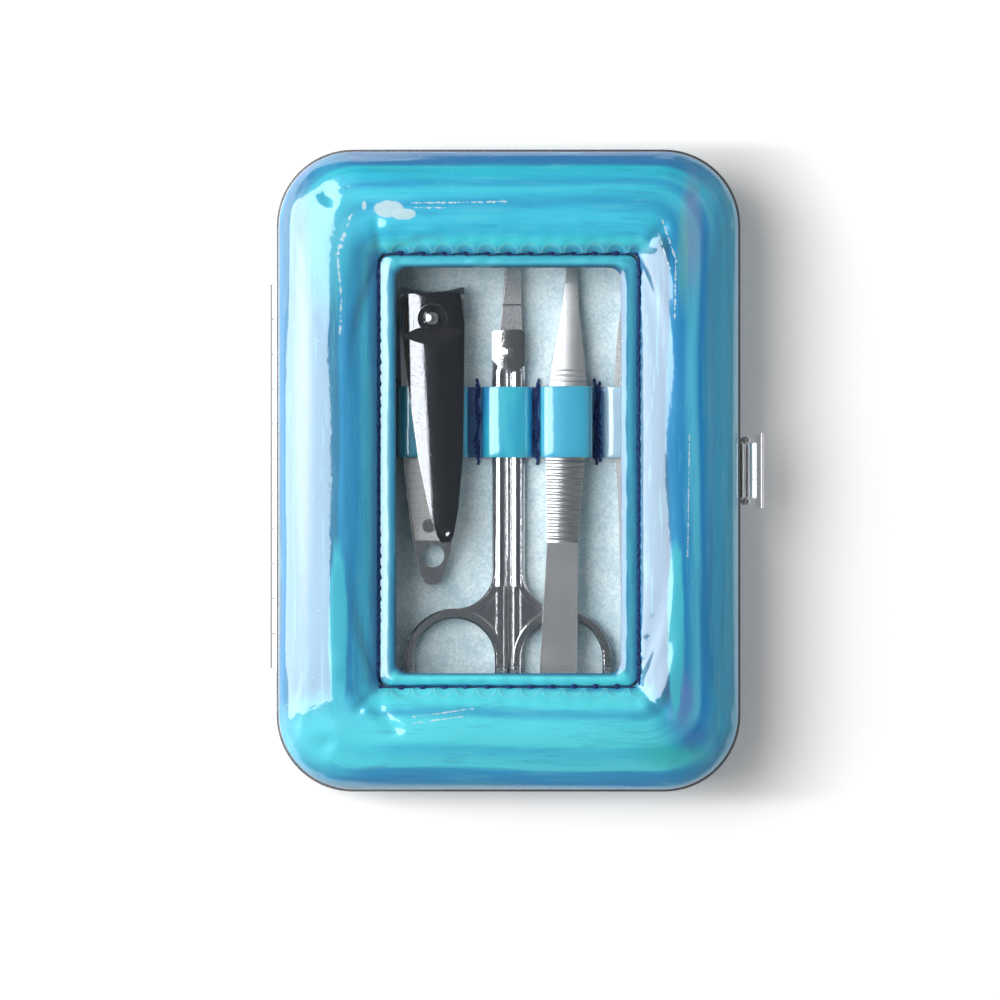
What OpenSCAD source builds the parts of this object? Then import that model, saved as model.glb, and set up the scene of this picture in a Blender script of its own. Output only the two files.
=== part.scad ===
// Manicure set case: a hinged padded case with a window, a band of tool loops,
// a nail clipper, scissors, tweezers and a nail file.
// Millimetres. +Z is up, +Y points to the tool tips, +X to the clasp.
// The origin is the middle of the flat face that the case lies on.

/* [Case] */
// Width across the metal frames
case_w = 82; // [78:0.5:90]
// Length along the hinge side
case_l = 113.5; // [110:0.5:124]
// Corner radius of the frames
corner_r = 13.5; // [10:0.5:16]
// Height of each metal frame
frame_h = 3.85; // [3.6:0.05:5]
// Sheet thickness of the frames
frame_t = 0.6; // [0.5:0.05:0.8]
// Width of the flange that carries the boards
flange_w = 2.2; // [1.8:0.1:2.6]
// Width of the in-turned edge at the opening
land_w = 1.6; // [1.2:0.1:1.8]
// Running gap between the closed frames
seam_gap = 0.3; // [0.2:0.05:0.5]

/* [Padding] */
// Height of the padding below the frames
pad_h = 8; // [7:0.25:10]
// Height of the padding above the frames
lid_pad_h = 6.2; // [6:0.1:8]
// Thickness of the outer skin
skin_t = 0.4; // [0.3:0.05:0.6]
// Depth that the resting side is pressed flat
rest_cut = 0.5; // [0.3:0.1:0.8]

/* [Window] */
// Clear width of the window
window_w = 39.4; // [34:0.2:42]
// Clear length of the window
window_l = 71.3; // [64:0.1:76]
// Corner radius of the window
window_r = 2.1; // [1:0.1:4]
// Width of the flat hem beside the window
hem_side = 3.2; // [3:0.1:4.5]
// Width of the flat hem above and below the window
hem_end = 2.4; // [2:0.1:4]
// Thickness of the clear film
film_t = 0.25; // [0.2:0.05:0.4]
// Thickness of the turned hem
hem_t = 0.7; // [0.5:0.05:0.8]
// Thickness of the board ring below the padding
lid_board_t = 2.2; // [2:0.1:2.3]

/* [Tray] */
// Thickness of the pressed board
board_t = 0.7; // [0.6:0.1:1]
// Thickness of the felt lining
felt_t = 0.6; // [0.4:0.05:0.8]
// Height of the felt floor above the rest face
floor_z = 6; // [5.5:0.1:6.5]

/* [Tool band] */
// Width of the band
band_w = 12.65; // [10:0.25:14]
// Middle of the band above the middle of the case
band_y = 8.7; // [7:0.1:10]
// Thickness of the band
band_t = 0.5; // [0.4:0.05:0.5]
// Room between a tool and the loop over it
loop_gap = 0.3; // [0.3:0.05:0.4]

/* [Hinge] */
// Number of knuckles, odd
knuckles = 11; // [7:2:13]
// Length of one knuckle
knuckle_pitch = 6.2; // [5:0.1:6.6]
// Radius of a knuckle
knuckle_r = 1.3; // [1.2:0.05:1.4]
// Radius of the hinge pin
hinge_pin_r = 0.55; // [0.4:0.05:0.7]
// Middle of the hinge below the middle of the case
hinge_y = -1; // [-3:0.5:3]

/* [Clasp] */
// Width of the clasp lever
clasp_w = 9.7; // [8:0.1:12]
// Width of its thumb lip
lip_w = 13.2; // [12:0.1:15]
// Reach of the lip beyond the frame
lip_reach = 4.1; // [3.6:0.1:4.6]
// Thickness of the lever
clasp_t = 0.5; // [0.4:0.05:0.6]
// Radius of the clasp pin
clasp_pin_r = 0.4; // [0.3:0.05:0.45]
// Radius of the catch bead on the upper frame
catch_r = 0.45; // [0.4:0.01:0.5]
// Radius of the snap bead inside the lever
snap_r = 0.5; // [0.45:0.01:0.55]
// Depth that the snap bead holds the catch bead
snap_bite = 0.2; // [0.15:0.01:0.25]

/* [Clipper] */
// Length of the clipper
clipper_l = 53.1; // [50:0.1:56]
// Width across the jaws
clipper_w = 11.4; // [10.4:0.1:11.6]
// Thickness of each leaf
leaf_t = 1.3; // [1.1:0.05:1.4]
// Slope of the upper leaf
leaf_slope = 2.9; // [2.7:0.05:3]
// Thickness of the swinging file
clip_file_t = 0.7; // [0.5:0.05:0.8]
// Thickness of the clipper lever
lever_t = 1.2; // [1:0.05:1.3]
// Turn of the lever from the line of the leaves
lever_turn = 3.5; // [2:0.1:4]
// Diameter of the hole in the tail
tail_hole_d = 4.2; // [3.4:0.1:4.4]
// Radius of the clipper pin
clip_pin_r = 1.1; // [0.9:0.05:1.2]
// Pitch of the ridges on the file
ridge_pitch = 1.3; // [1:0.05:1.6]

/* [Scissors] */
// Height of the scissors screw above the middle of the case
screw_y = 21.2; // [20:0.1:22]
// Distance from the screw to the blade tips
blade_l = 20.2; // [18:0.1:22]
// Width of both shanks together
shank_w = 5.8; // [4.6:0.1:5.9]
// Thickness of the shanks
shank_t = 2.6; // [2.2:0.05:2.8]
// Half width of a finger ring outside
ring_half_w = 9; // [8:0.1:9.2]
// Half length of a finger ring outside
ring_half_l = 11.2; // [10.2:0.1:11.6]
// Wall of a finger ring
ring_wall = 1.8; // [1.4:0.1:2]
// Distance from the screw to the middle of the rings
ring_reach = 57; // [55:0.5:58]

/* [Tweezers] */
// Length of the tweezers
tweezer_l = 86.5; // [80:0.5:88]
// Thickness of each arm
arm_t = 0.9; // [0.7:0.05:1]
// Bow of the upper arm above the lower one
arm_bow = 1.5; // [1.2:0.1:1.7]
// Widest part, at the grips
grip_w = 7; // [6:0.1:7.2]
// Pitch of the grip ribs
rib_pitch = 1.12; // [1:0.02:1.6]

/* [Nail file] */
// Length of the nail file
file_l = 62; // [56:1:64]
// Widest part of the nail file
file_w = 7.4; // [6.6:0.1:7.6]
// Thickness of the nail file
file_t = 1; // [0.8:0.05:1.1]

/* [Hidden] */
$fn = 48;

// A length and a height past every piece, for cutting blocks
past = 2 * case_l;
tall = case_l / 2;

// Small clearances
touch = 0.02;
run_gap = 0.05;
side_gap = 0.1;
free_gap = 0.3;

// Heights of the layers
lower_z = pad_h;
lower_top = lower_z + frame_h;
hinge_z = lower_top + seam_gap / 2;
upper_z = lower_top + seam_gap;
upper_top = upper_z + frame_h;
tool_z = floor_z + free_gap;

// Half sizes of the case
half_w = case_w / 2;
half_l = case_l / 2;

// Inset of the tray and of its rim
tray_in = flange_w + 0.2;
lip_in = frame_t + 0.6;

// Stitch line round the window
stitch_w = window_w + 2 * hem_side;
stitch_l = window_l + 2 * hem_end;
stitch_r = window_r + hem_end - 0.4;
film_z = upper_top + lid_board_t;
hem_z = film_z + film_t;
board_in = 1.9;
board_reveal = 0.25;

// Section of the padding from the frame edge, at 0, to the stitch line, at 1:
// share of the width, then share of the height, with its crest nearer the window
pad_section = [[0.035, 0.006], [0.022, 0.12], [0.026, 0.26], [0.055, 0.43], [0.105, 0.585],
    [0.2, 0.728], [0.3, 0.815], [0.42, 0.895], [0.55, 0.965], [0.66, 1.0], [0.74, 0.986],
    [0.81, 0.93], [0.88, 0.825], [0.94, 0.695], [1.0, 0.525]];
// Section of the back, which is the same at its edge and flat in the middle
back_section = [[0.34, 1.06], [0.25, 0.975], [0.16, 0.90], [0.075, 0.74], [0.030, 0.53],
    [0.018, 0.32], [0.022, 0.14], [0.035, 0.006]];
arc_steps = 12;

// Places of the tools on the felt
twz_tip = [11.38, 37];
twz_shoulder = 7.8;
tip_run = 3.6;
tip_thin = 0.4;
twz_tilt = 2.6;
grip_from = 34.6;
grip_to = 49.8;
rib_h = 0.25;
rib_r = 0.45;
fine_from = 19.2;
fine_pitch = 0.95;
fine_rib_r = 0.22;
clip_x = -13.55;
clip_tail_y = -20.3;
clip_body_half = 5.2;
twz_x = 10.4;
file_x = 22.6;
band_hi = band_y + band_w / 2;
leaf_lift = tan(leaf_slope);
clip_file_end = 9;
clip_file_top = tool_z + leaf_t + run_gap + (clip_file_end - clip_tail_y) * leaf_lift
    + (leaf_t + run_gap + clip_file_t) / cos(leaf_slope);
clip_loop_z = max(clip_file_top, tool_z + leaf_t + run_gap + (band_hi - clip_tail_y) * leaf_lift
    + leaf_t / cos(leaf_slope)) + loop_gap;
scis_loop_half = shank_w / 2 + 1.15;
band_end = 2;
twz_loop_z = tool_z + (twz_tip[1] - band_y + band_w / 2) * sin(twz_tilt) + 2 * arm_t + arm_bow
    + rib_h + loop_gap;
// Each loop of the band as left inside, right inside, inside height and corner
loops = [[clip_x - clip_body_half - 0.5, clip_x + clip_body_half + 0.6, clip_loop_z, 1.0],
    [-scis_loop_half - 0.2, scis_loop_half - 0.2, tool_z + shank_t + loop_gap, 1.1],
    [twz_x - grip_w / 2 - 0.6, twz_x + grip_w / 2 + 0.5, twz_loop_z, 0.9],
    [file_x - file_w / 2 - 1.2, file_x + file_w / 2 + 0.7, tool_z + file_t + loop_gap + 0.1, 0.6]];

// Hinge
hinge_len = knuckles * knuckle_pitch;
hinge_bore_r = hinge_pin_r + run_gap;
notch_r = knuckle_r + 0.25;
pin_head_r = hinge_pin_r + 0.3;
pin_head_t = 0.35;

// Clasp
plate_t = 0.4;
clasp_x = half_w + 1.3;
clasp_z = lower_z + 0.6;
barrel_r = clasp_x - half_w - plate_t - side_gap;
ear_t = 0.6;
ear_y = clasp_w / 2 + free_gap;
rivet_y = 3.2;
rivet_z = lower_z + 2.3;
rivet_r = 0.5;
catch_z = upper_z + 1.05;
snap_x = half_w + catch_r - snap_bite + snap_r;
snap_z = catch_z + sqrt(pow(catch_r + snap_r + run_gap, 2) - pow(snap_x - half_w, 2));
lever_face = clasp_x - 0.4;
flare_r = 2.1;
lip_d = 1.5;
spring_half = 1.5;

// Clipper
clip_jaw_y = clip_tail_y + clipper_l;
pin_y = clip_jaw_y - 5.8;
clip_rivet = [clip_x - 0.6, -9.7];
tail_hole_y = clip_tail_y + 5.2;
pin_foot_r = clip_pin_r + 0.5;
rivet_body_r = 0.75;
file_pivot_r = 0.68;
upper_leaf_z = tool_z + leaf_t + run_gap;
lever_z = clip_loop_z + band_t + 0.3;
jaw_z = tool_z + leaf_t + 1.2;

// Scissors
half_t = shank_t / 2;
ring_y = screw_y - ring_reach;
ring_x = ring_half_w + 0.6;
ring_t = 2.2;
split = 0.03;
head_r = shank_w / 2;
screw_r = 0.75;
shank_low = ring_y + ring_half_l;
shank_r = 1.55;
web_t = 0.6 * ring_t;
web_in = 0.3;
bow_r = 6.9;
bow_start = 2;
bar_inset = 0.06;
box_l = 3.8;
box_corner = 0.5;

// Tweezers and nail file
twz_lean = 2;
file_tip_y = 38.7;

// A rectangle with round corners, from half sizes
module rounded(w, l, r) {
    square([2 * (w - r), 2 * l], center = true);
    square([2 * w, 2 * (l - r)], center = true);
    for (x = [-1, 1], y = [-1, 1])
        translate([x * (w - r), y * (l - r)]) circle(r);
}

// The case outline drawn in by an inset
module outline(inset) rounded(half_w - inset, half_l - inset, corner_r - inset);

// A flat ring between two insets of the case outline
module ring_plate(out_inset, in_inset, h) linear_extrude(h) difference() {
    outline(out_inset);
    outline(in_inset);
}

// Points of a rounded rectangle
function arc_points(cx, cy, r, start) =
    [for (i = [0:arc_steps - 1]) let (a = start + 90 * i / (arc_steps - 1))
        [cx + r * cos(a), cy + r * sin(a)]];
function loop_points(w, l, r) = concat(arc_points(w - r, l - r, r, 0),
    arc_points(r - w, l - r, r, 90), arc_points(r - w, r - l, r, 180),
    arc_points(w - r, r - l, r, 270));
function mix(a, b, t) = a + (b - a) * t;
function pad_loop(t, z) = [for (p = loop_points(mix(half_w, stitch_w / 2, t),
    mix(half_l, stitch_l / 2, t), mix(corner_r, stitch_r, t))) [p[0], p[1], z]];
function reversed(list) = [for (i = [len(list) - 1:-1:0]) list[i]];
// The section, h high, drawn in by a skin of thickness s
function drawn_in(section, s, h) = [for (p = section)
    [0.5 + (p[0] - 0.5) * (1 - 2 * s / (half_w - stitch_w / 2)), p[1] - s / h * min(1, p[1] * 2)]];

// Triangles between neighbouring loops of n points
function loft_faces(rows, n, closed) = [for (i = [0:rows - (closed ? 1 : 2)], j = [0:n - 1])
    let (a = i * n, b = (i + 1) % rows * n, k = (j + 1) % n)
        each [[a + j, b + j, b + k], [a + j, b + k, a + k]]];

// A closed ring lofted through (share, height) pairs
module loft_ring(rows) {
    n = 4 * arc_steps;
    polyhedron([for (p = rows) each pad_loop(p[0], p[1])], loft_faces(len(rows), n, true));
}

// A closed form lofted through pairs, flat at its first and last loop
module loft_capped(rows) {
    n = 4 * arc_steps;
    last = (len(rows) - 1) * n;
    polyhedron([for (p = rows) each pad_loop(p[0], p[1])], concat(
        loft_faces(len(rows), n, false), [[for (j = [0:n - 1]) j]],
        [[for (j = [n - 1:-1:0]) last + j]]));
}

// Metal channel of one frame, flange at the bottom, before its hinge is cut
module channel() {
    ring_plate(0, frame_t, frame_h);
    ring_plate(frame_t / 2, flange_w, frame_t);
    translate([0, 0, frame_h - frame_t]) ring_plate(frame_t / 2, land_w, frame_t);
}

function knuckle_mid(i) = hinge_y + (i - (knuckles - 1) / 2) * knuckle_pitch;

// A bar along Y at the hinge line
module hinge_bar(r, len, y) translate([-half_w, y, hinge_z]) rotate([90, 0, 0])
    cylinder(r = r, h = len, center = true);

// A frame with the knuckles of one parity, and notches for the others
module hinged(parity) {
    difference() {
        union() {
            difference() {
                children();
                for (i = [0:knuckles - 1]) if (i % 2 != parity)
                    hinge_bar(notch_r, knuckle_pitch + side_gap, knuckle_mid(i));
            }
            for (i = [0:knuckles - 1]) if (i % 2 == parity)
                hinge_bar(knuckle_r, knuckle_pitch - side_gap, knuckle_mid(i));
        }
        hinge_bar(hinge_bore_r, hinge_len + 2, hinge_y);
        hinge_heads(pin_head_r + side_gap, pin_head_t + 2 * side_gap);
    }
}

// A disc at each end of the hinge pin
module hinge_heads(r, len) for (s = [-1, 1])
    hinge_bar(r, len, hinge_y + s * (hinge_len / 2 + run_gap + pin_head_t / 2));

module at_rivets() for (y = [-rivet_y, rivet_y]) translate([half_w, y, rivet_z])
    rotate([0, 90, 0]) children();

// Lower frame: carries the tray, the hinge pin and the clasp
module lower_frame() color("silver") difference() {
    hinged(0) translate([0, 0, lower_z]) channel();
    at_rivets() cylinder(r = rivet_r + touch, h = 4, center = true);
}

// Upper frame: the same channel turned over
module upper_frame() color("silver")
    hinged(1) translate([0, 0, upper_top]) mirror([0, 0, 1]) channel();

// Skin of the back, pressed flat where the case lies
module back_cover() color("deepskyblue") {
    outer = [for (p = back_section) [p[0], max(0, lower_z - p[1] * (pad_h + rest_cut))]];
    inner = [for (p = drawn_in(back_section, skin_t, pad_h))
        [p[0], min(lower_z - touch, max(skin_t, lower_z - p[1] * (pad_h + rest_cut)))]];
    loft_capped(concat(outer, reversed(inner)));
}

// Wadding between the back skin and the pressed board
module back_padding() color("white") {
    top = floor_z - felt_t - board_t - touch;
    rows = [for (p = drawn_in(back_section, skin_t + run_gap, pad_h))
        [p[0], max(skin_t + touch, lower_z - p[1] * (pad_h + rest_cut))]];
    low = [for (p = rows) if (p[1] < top - 0.2) p];
    edge = low[len(low) - 1][0] + 0.02;
    loft_capped(concat(low, [[edge, top], [0.4, top]]));
}

// A shallow pan with a rim, drawn in by in_x, floor t thick
module pan(inset, wall, t, base_z, rim_z, rim_t) {
    translate([0, 0, base_z]) linear_extrude(t) outline(inset);
    translate([0, 0, base_z]) ring_plate(inset, inset + wall, rim_z + rim_t - base_z);
    translate([0, 0, rim_z]) ring_plate(lip_in, inset + wall / 2, rim_t);
}

// Pressed board of the base, hanging by its rim on the lower flange
module tray_board() color("tan")
    pan(tray_in, board_t, board_t, floor_z - felt_t - board_t, lower_z + frame_t, felt_t);

// Felt lining of the tray
module tray_lining() color("lightsteelblue")
    pan(tray_in + board_t, felt_t, felt_t, floor_z - felt_t,
        lower_z + frame_t + felt_t, felt_t);

// One loop of the band, as its section across the case
module loop_section(l, grow) {
    r = l[3] + grow;
    w = (l[1] - l[0]) / 2 + grow;
    h = l[2] - floor_z + grow;
    intersection() {
        translate([(l[0] + l[1]) / 2, floor_z]) rounded(w, h, r);
        translate([l[0] - grow - 1, floor_z]) square([2 * w + 2, h + 1]);
    }
}

// Band of four loops, sewn flat to the felt between the tools
module tool_band() color("dodgerblue") translate([0, band_hi, 0]) rotate([90, 0, 0])
    linear_extrude(band_w) difference() {
        union() {
            translate([loops[0][0] - band_t - band_end, floor_z])
                square([loops[3][1] - loops[0][0] + 2 * (band_t + band_end), band_t]);
            for (l = loops) loop_section(l, band_t);
        }
        for (l = loops) loop_section(l, 0);
    }

// Hinge pin with a peened head at each end
module hinge_pin() color("gray") {
    hinge_bar(hinge_pin_r, hinge_len + 2 * run_gap, hinge_y);
    hinge_heads(pin_head_r, pin_head_t);
}

// A bar along Y at the clasp pin
module clasp_bar(r, len, y = 0) translate([clasp_x, y, clasp_z]) rotate([90, 0, 0])
    cylinder(r = r, h = len, center = true);

// Side profile of the clasp, given in X and Z, made len wide
module across(len) translate([0, len / 2, 0]) rotate([90, 0, 0]) linear_extrude(len) children();

// Bracket on the lower frame, with an ear at each side of the lever
module clasp_bracket() color("silver") difference() {
    union() {
        translate([half_w, 0, 0]) across(2 * (ear_y + ear_t))
            translate([0, rivet_z - rivet_r - 0.25]) square([plate_t, 2 * rivet_r + 0.85]);
        for (s = [-1, 1]) translate([0, s * (ear_y + ear_t / 2), 0]) across(ear_t) {
            translate([clasp_x, clasp_z]) circle(barrel_r + 0.15);
            translate([half_w, clasp_z - barrel_r - 0.15])
                square([clasp_x - half_w, 2 * barrel_r + 0.3]);
            translate([half_w, clasp_z]) square([plate_t + 0.5, rivet_z + 1.1 - clasp_z]);
        }
    }
    clasp_bar(clasp_pin_r + touch, 2 * (ear_y + ear_t) + 1);
    at_rivets() cylinder(r = rivet_r + touch, h = 4, center = true);
}

// Two rivets through the bracket and the frame wall
module clasp_rivets() color("gray") at_rivets() {
    translate([0, 0, -frame_t]) cylinder(r = rivet_r, h = frame_t + plate_t);
    translate([0, 0, -frame_t - 0.35]) cylinder(r = rivet_r + 0.3, h = 0.35);
    translate([0, 0, plate_t]) cylinder(r = rivet_r + 0.3, h = 0.25);
}

// Pin of the clasp, headed outside the ears
module clasp_pin() color("gray") {
    clasp_bar(clasp_pin_r, 2 * (ear_y + ear_t));
    for (s = [-1, 1]) clasp_bar(clasp_pin_r + 0.25, 0.3, s * (ear_y + ear_t + 0.15));
}

// Torsion spring wound round the clasp pin
module clasp_spring() color("gray") {
    wire_r = 0.12;
    coil_r = clasp_pin_r + wire_r + 0.06;
    turns = 5;
    per_turn = 10;
    sides = 6;
    steps = turns * per_turn;
    points = [for (i = [0:steps], k = [0:sides - 1])
        let (a = 360 * i / per_turn, b = 360 * k / sides, r = coil_r + wire_r * cos(b))
            [clasp_x + r * cos(a), mix(-spring_half, spring_half, i / steps) + wire_r * sin(b),
                clasp_z + r * sin(a)]];
    polyhedron(points, concat(
        [for (i = [0:steps - 1], k = [0:sides - 1])
            let (a = i * sides, b = a + sides, n = (k + 1) % sides)
                each [[a + k, b + n, a + n], [a + k, b + k, b + n]]],
        [[for (k = [0:sides - 1]) k]], [[for (k = [sides - 1:-1:0]) steps * sides + k]]));
}

// Bead on the upper frame that the clasp holds
module clasp_catch() color("silver") intersection() {
    across(clasp_w - 1) {
        translate([half_w, catch_z]) circle(catch_r);
        translate([half_w, catch_z - 0.75]) square([0.15, 1.15]);
    }
    translate([half_w, -clasp_w, upper_z]) cube([2, 2 * clasp_w, frame_h]);
}

// Spring clasp: barrel, plate with an inner snap bead, concave flare and thumb lip
module clasp_lever() color("silver") {
    flare_z = snap_z + 0.2;
    flare_x = lever_face + clasp_t;
    lip_x = half_w + lip_reach - lip_d;
    tip_a = acos(1 - (lip_x + 0.15 - flare_x) / flare_r);
    difference() {
        union() {
            across(clasp_w) {
                translate([lever_face, clasp_z]) square([clasp_t, flare_z - clasp_z]);
                translate([clasp_x, clasp_z]) circle(barrel_r);
                translate([snap_x, snap_z]) circle(snap_r);
                translate([snap_x, snap_z - snap_r]) square([flare_x - snap_x, 2 * snap_r]);
                difference() {
                    translate([flare_x + flare_r, flare_z]) circle(flare_r + clasp_t);
                    translate([flare_x + flare_r, flare_z]) circle(flare_r);
                    translate([lever_face - 1, flare_z - 5]) square([2 * flare_r + 4, 5]);
                    translate([lip_x + 0.15, flare_z]) square([9, 9]);
                }
            }
            translate([lip_x, 0, flare_z + flare_r * sin(tip_a)])
                rotate([90, 0, 0]) linear_extrude(lip_w, center = true) {
                    square([lip_d - 0.3, clasp_t]);
                    translate([lip_d - 0.3, clasp_t / 2]) circle(0.3);
                }
        }
        clasp_bar(clasp_pin_r + run_gap, clasp_w + 2);
        translate([clasp_x - barrel_r - side_gap, -spring_half - 0.3, clasp_z - barrel_r - 0.1])
            cube([2 * barrel_r + 1, 2 * spring_half + 0.6, 2 * barrel_r + 0.2]);
    }
}

// Skin of the lid, puffed all round between the frame and the stitch line
module lid_cover() color("deepskyblue") {
    outer = [for (p = pad_section) [p[0], upper_top + p[1] * lid_pad_h]];
    inner = [for (p = drawn_in(pad_section, skin_t, lid_pad_h))
        [p[0], upper_top + touch + p[1] * lid_pad_h]];
    loft_ring(concat(outer, reversed(inner)));
}

// Foam under the lid skin
module lid_foam() color("white") {
    base = film_z + touch;
    rows = drawn_in(pad_section, skin_t + 0.12, lid_pad_h);
    raised = [for (p = rows) if (upper_top + p[1] * lid_pad_h > base + 0.2)
        [p[0], upper_top + p[1] * lid_pad_h]];
    loft_ring(concat([[raised[0][0] + 0.03, base]], raised,
        [[raised[len(raised) - 1][0] - 0.01, base]]));
}

// A rounded window opening, let out by grow
module window_hole(grow_x, grow_y) rounded(window_w / 2 + grow_x, window_l / 2 + grow_y,
    window_r + min(grow_x, grow_y));

// Board ring that stiffens the lid
module lid_board() color("tan") translate([0, 0, upper_top]) linear_extrude(lid_board_t)
    difference() {
        outline(board_in);
        window_hole(board_reveal, board_reveal);
    }

// Clear film on the board, held by the hem
module window_film() color("white", 0.4) translate([0, 0, film_z]) linear_extrude(film_t)
    window_hole(hem_side - run_gap, hem_end - run_gap);

// Turned hem of the skin round the window
module window_hem() color("steelblue") translate([0, 0, hem_z]) linear_extrude(hem_t)
    difference() {
        window_hole(hem_side - run_gap, hem_end - run_gap);
        window_hole(0, 0);
    }

// Felt lining of the lid
module lid_lining() color("lightsteelblue") translate([0, 0, upper_top - frame_t])
    linear_extrude(frame_t - touch) difference() {
        outline(flange_w + 0.3);
        window_hole(board_reveal, board_reveal);
    }

// Half widths of the clipper along its length, from the jaws to the tail
clip_half = [[0, 0.5], [12.8, 0.497], [32.7, 0.447], [43.3, 0.333], [48, 0.26], [51.2, 0.193],
    [52.7, 0.12], [53.1, 0.06]];
clip_unit = clipper_l / 53.1;

// Clipper outline with a concave cutting edge
module clipper_outline() translate([clip_x, clip_jaw_y]) difference() {
    polygon(concat([for (p = clip_half) [p[1] * clipper_w, -p[0] * clip_unit]],
        [for (p = reversed(clip_half)) [-p[1] * clipper_w, -p[0] * clip_unit]]));
    translate([0, 13.4]) circle(14.3, $fn = 96);
}

// A side profile, given in Y and Z, made as wide as the clipper
module clipper_side() translate([clip_x - clipper_w, 0, 0]) rotate([90, 0, 90])
    linear_extrude(2 * clipper_w) children();

// Holes for the pin, the key ring and the rivet
module clipper_holes() {
    translate([clip_x, pin_y, 0]) cylinder(r = clip_pin_r + side_gap, h = tall);
    translate([clip_x, pin_y, tool_z - 1]) cylinder(r = pin_foot_r + run_gap, h = 1.4);
    translate([clip_x, tail_hole_y, 0]) cylinder(d = tail_hole_d, h = tall);
    translate([clip_rivet[0], clip_rivet[1], 0]) cylinder(r = rivet_body_r + touch, h = tall);
    translate([clip_rivet[0], clip_rivet[1], tool_z - 1]) cylinder(r = 1.15, h = 1.32);
}

// Lower leaf of the clipper, its jaw bent up
module clipper_lower_leaf() color("silver") difference() {
    intersection() {
        linear_extrude(tall) clipper_outline();
        clipper_side() polygon([[clip_tail_y, tool_z], [clip_jaw_y - 6.4, tool_z],
            [clip_jaw_y - 2, tool_z + 0.9], [clip_jaw_y, jaw_z - 0.05], [clip_jaw_y - 0.8, jaw_z],
            [clip_jaw_y - 3.4, tool_z + leaf_t + 0.75], [clip_jaw_y - 7, tool_z + leaf_t],
            [clip_tail_y, tool_z + leaf_t]]);
    }
    clipper_holes();
}

// Moves a flat piece of the upper leaf onto its slope
module on_upper_leaf() translate([0, clip_tail_y, upper_leaf_z]) rotate([leaf_slope, 0, 0])
    translate([0, -clip_tail_y, 0]) children();

// Height of the upper leaf's underside where its jaw bends down
jaw_root_z = upper_leaf_z + (clip_jaw_y - 6.4 - clip_tail_y) * leaf_lift;

// Upper leaf of the clipper, its jaw bent down to the lower one
module clipper_upper_leaf() color("silver") difference() {
    intersection() {
        linear_extrude(tall) clipper_outline();
        clipper_side() polygon([[clip_tail_y, upper_leaf_z], [clip_jaw_y - 6.4, jaw_root_z],
            [clip_jaw_y - 3.4, jaw_root_z - 0.15], [clip_jaw_y - 0.8, jaw_z + run_gap],
            [clip_jaw_y, jaw_z + 0.1], [clip_jaw_y - 1.4, jaw_root_z + 0.55],
            [clip_jaw_y - 3.4, jaw_root_z + leaf_t], [clip_jaw_y - 6.4, jaw_root_z + leaf_t],
            [clip_tail_y, upper_leaf_z + leaf_t]]);
    }
    clipper_holes();
}

// Swinging file on the upper leaf, ridged across
module clipper_file() color("lightgray") on_upper_leaf() {
    rivet_v = clip_rivet[1];
    base = leaf_t + run_gap;
    tip = clip_file_end;
    difference() {
        union() {
            translate([0, 0, base]) linear_extrude(clip_file_t - 0.15) clip_file_outline(tip);
            intersection() {
                translate([0, 0, base]) linear_extrude(clip_file_t) clip_file_outline(tip);
                for (i = [0:floor((tip - rivet_v + 2) / ridge_pitch)])
                    translate([clip_x - clipper_w, rivet_v - 2 + i * ridge_pitch, base])
                        cube([2 * clipper_w, ridge_pitch / 3, 2]);
            }
        }
        translate([clip_rivet[0], rivet_v, -5]) cylinder(r = file_pivot_r + run_gap, h = 20);
        translate([clip_rivet[0], rivet_v, base + clip_file_t - 0.3]) cylinder(r = 1.35, h = 20);
    }
}

// Outline of the swinging file, following the leaf with a margin
module clip_file_outline(tip) {
    margin = 0.45;
    polygon([[clip_x - 0.447 * clipper_w + margin, tip - 1.5], [clip_x - 3, tip],
        [clip_x + 3, tip], [clip_x + 0.42 * clipper_w, tip - 1.5],
        [clip_x + 0.42 * clipper_w, -2], [clip_x + 0.31 * clipper_w, clip_rivet[1] - 2.6],
        [clip_x - 0.31 * clipper_w + margin, clip_rivet[1] - 2.6],
        [clip_x - 0.333 * clipper_w + margin, clip_rivet[1] - 0.6],
        [clip_x - 0.447 * clipper_w + margin, 0]]);
}

// Rivet that holds the leaves together and carries the file
module clipper_rivet() color("gray") {
    top = leaf_t + run_gap + clip_file_t - 0.28;
    translate([clip_rivet[0], clip_rivet[1], tool_z + 0.02]) {
        cylinder(r = rivet_body_r, h = upper_leaf_z - tool_z + 1.5);
        cylinder(r = 1.1, h = 0.28);
    }
    on_upper_leaf() translate([clip_rivet[0], clip_rivet[1], 0]) {
        translate([0, 0, 1]) cylinder(r = file_pivot_r, h = top - 0.9);
        translate([0, 0, top]) cylinder(r1 = 1.2, r2 = 0.9, h = 0.45);
    }
}

// Pin through both leaves, headed in the recess of the lever
module clipper_pin() color("silver") translate([clip_x, pin_y, 0]) {
    translate([0, 0, tool_z + 0.02]) cylinder(r = clip_pin_r, h = lever_z + lever_t - tool_z);
    translate([0, 0, tool_z + 0.02]) cylinder(r = pin_foot_r, h = 0.35);
    translate([0, 0, lever_z + lever_t - 0.1]) cylinder(r1 = clip_pin_r + 0.5, r2 = clip_pin_r, h = 0.65);
}

// Half widths of the lever along its length from the pin, as a share of the jaw width
lever_half = [[-4.6, 0.40], [-4, 0.46], [1.2, 0.5], [17.1, 0.4], [25, 0.345], [34.1, 0.225],
    [38.6, 0.13], [39.8, 0.07]];

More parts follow.
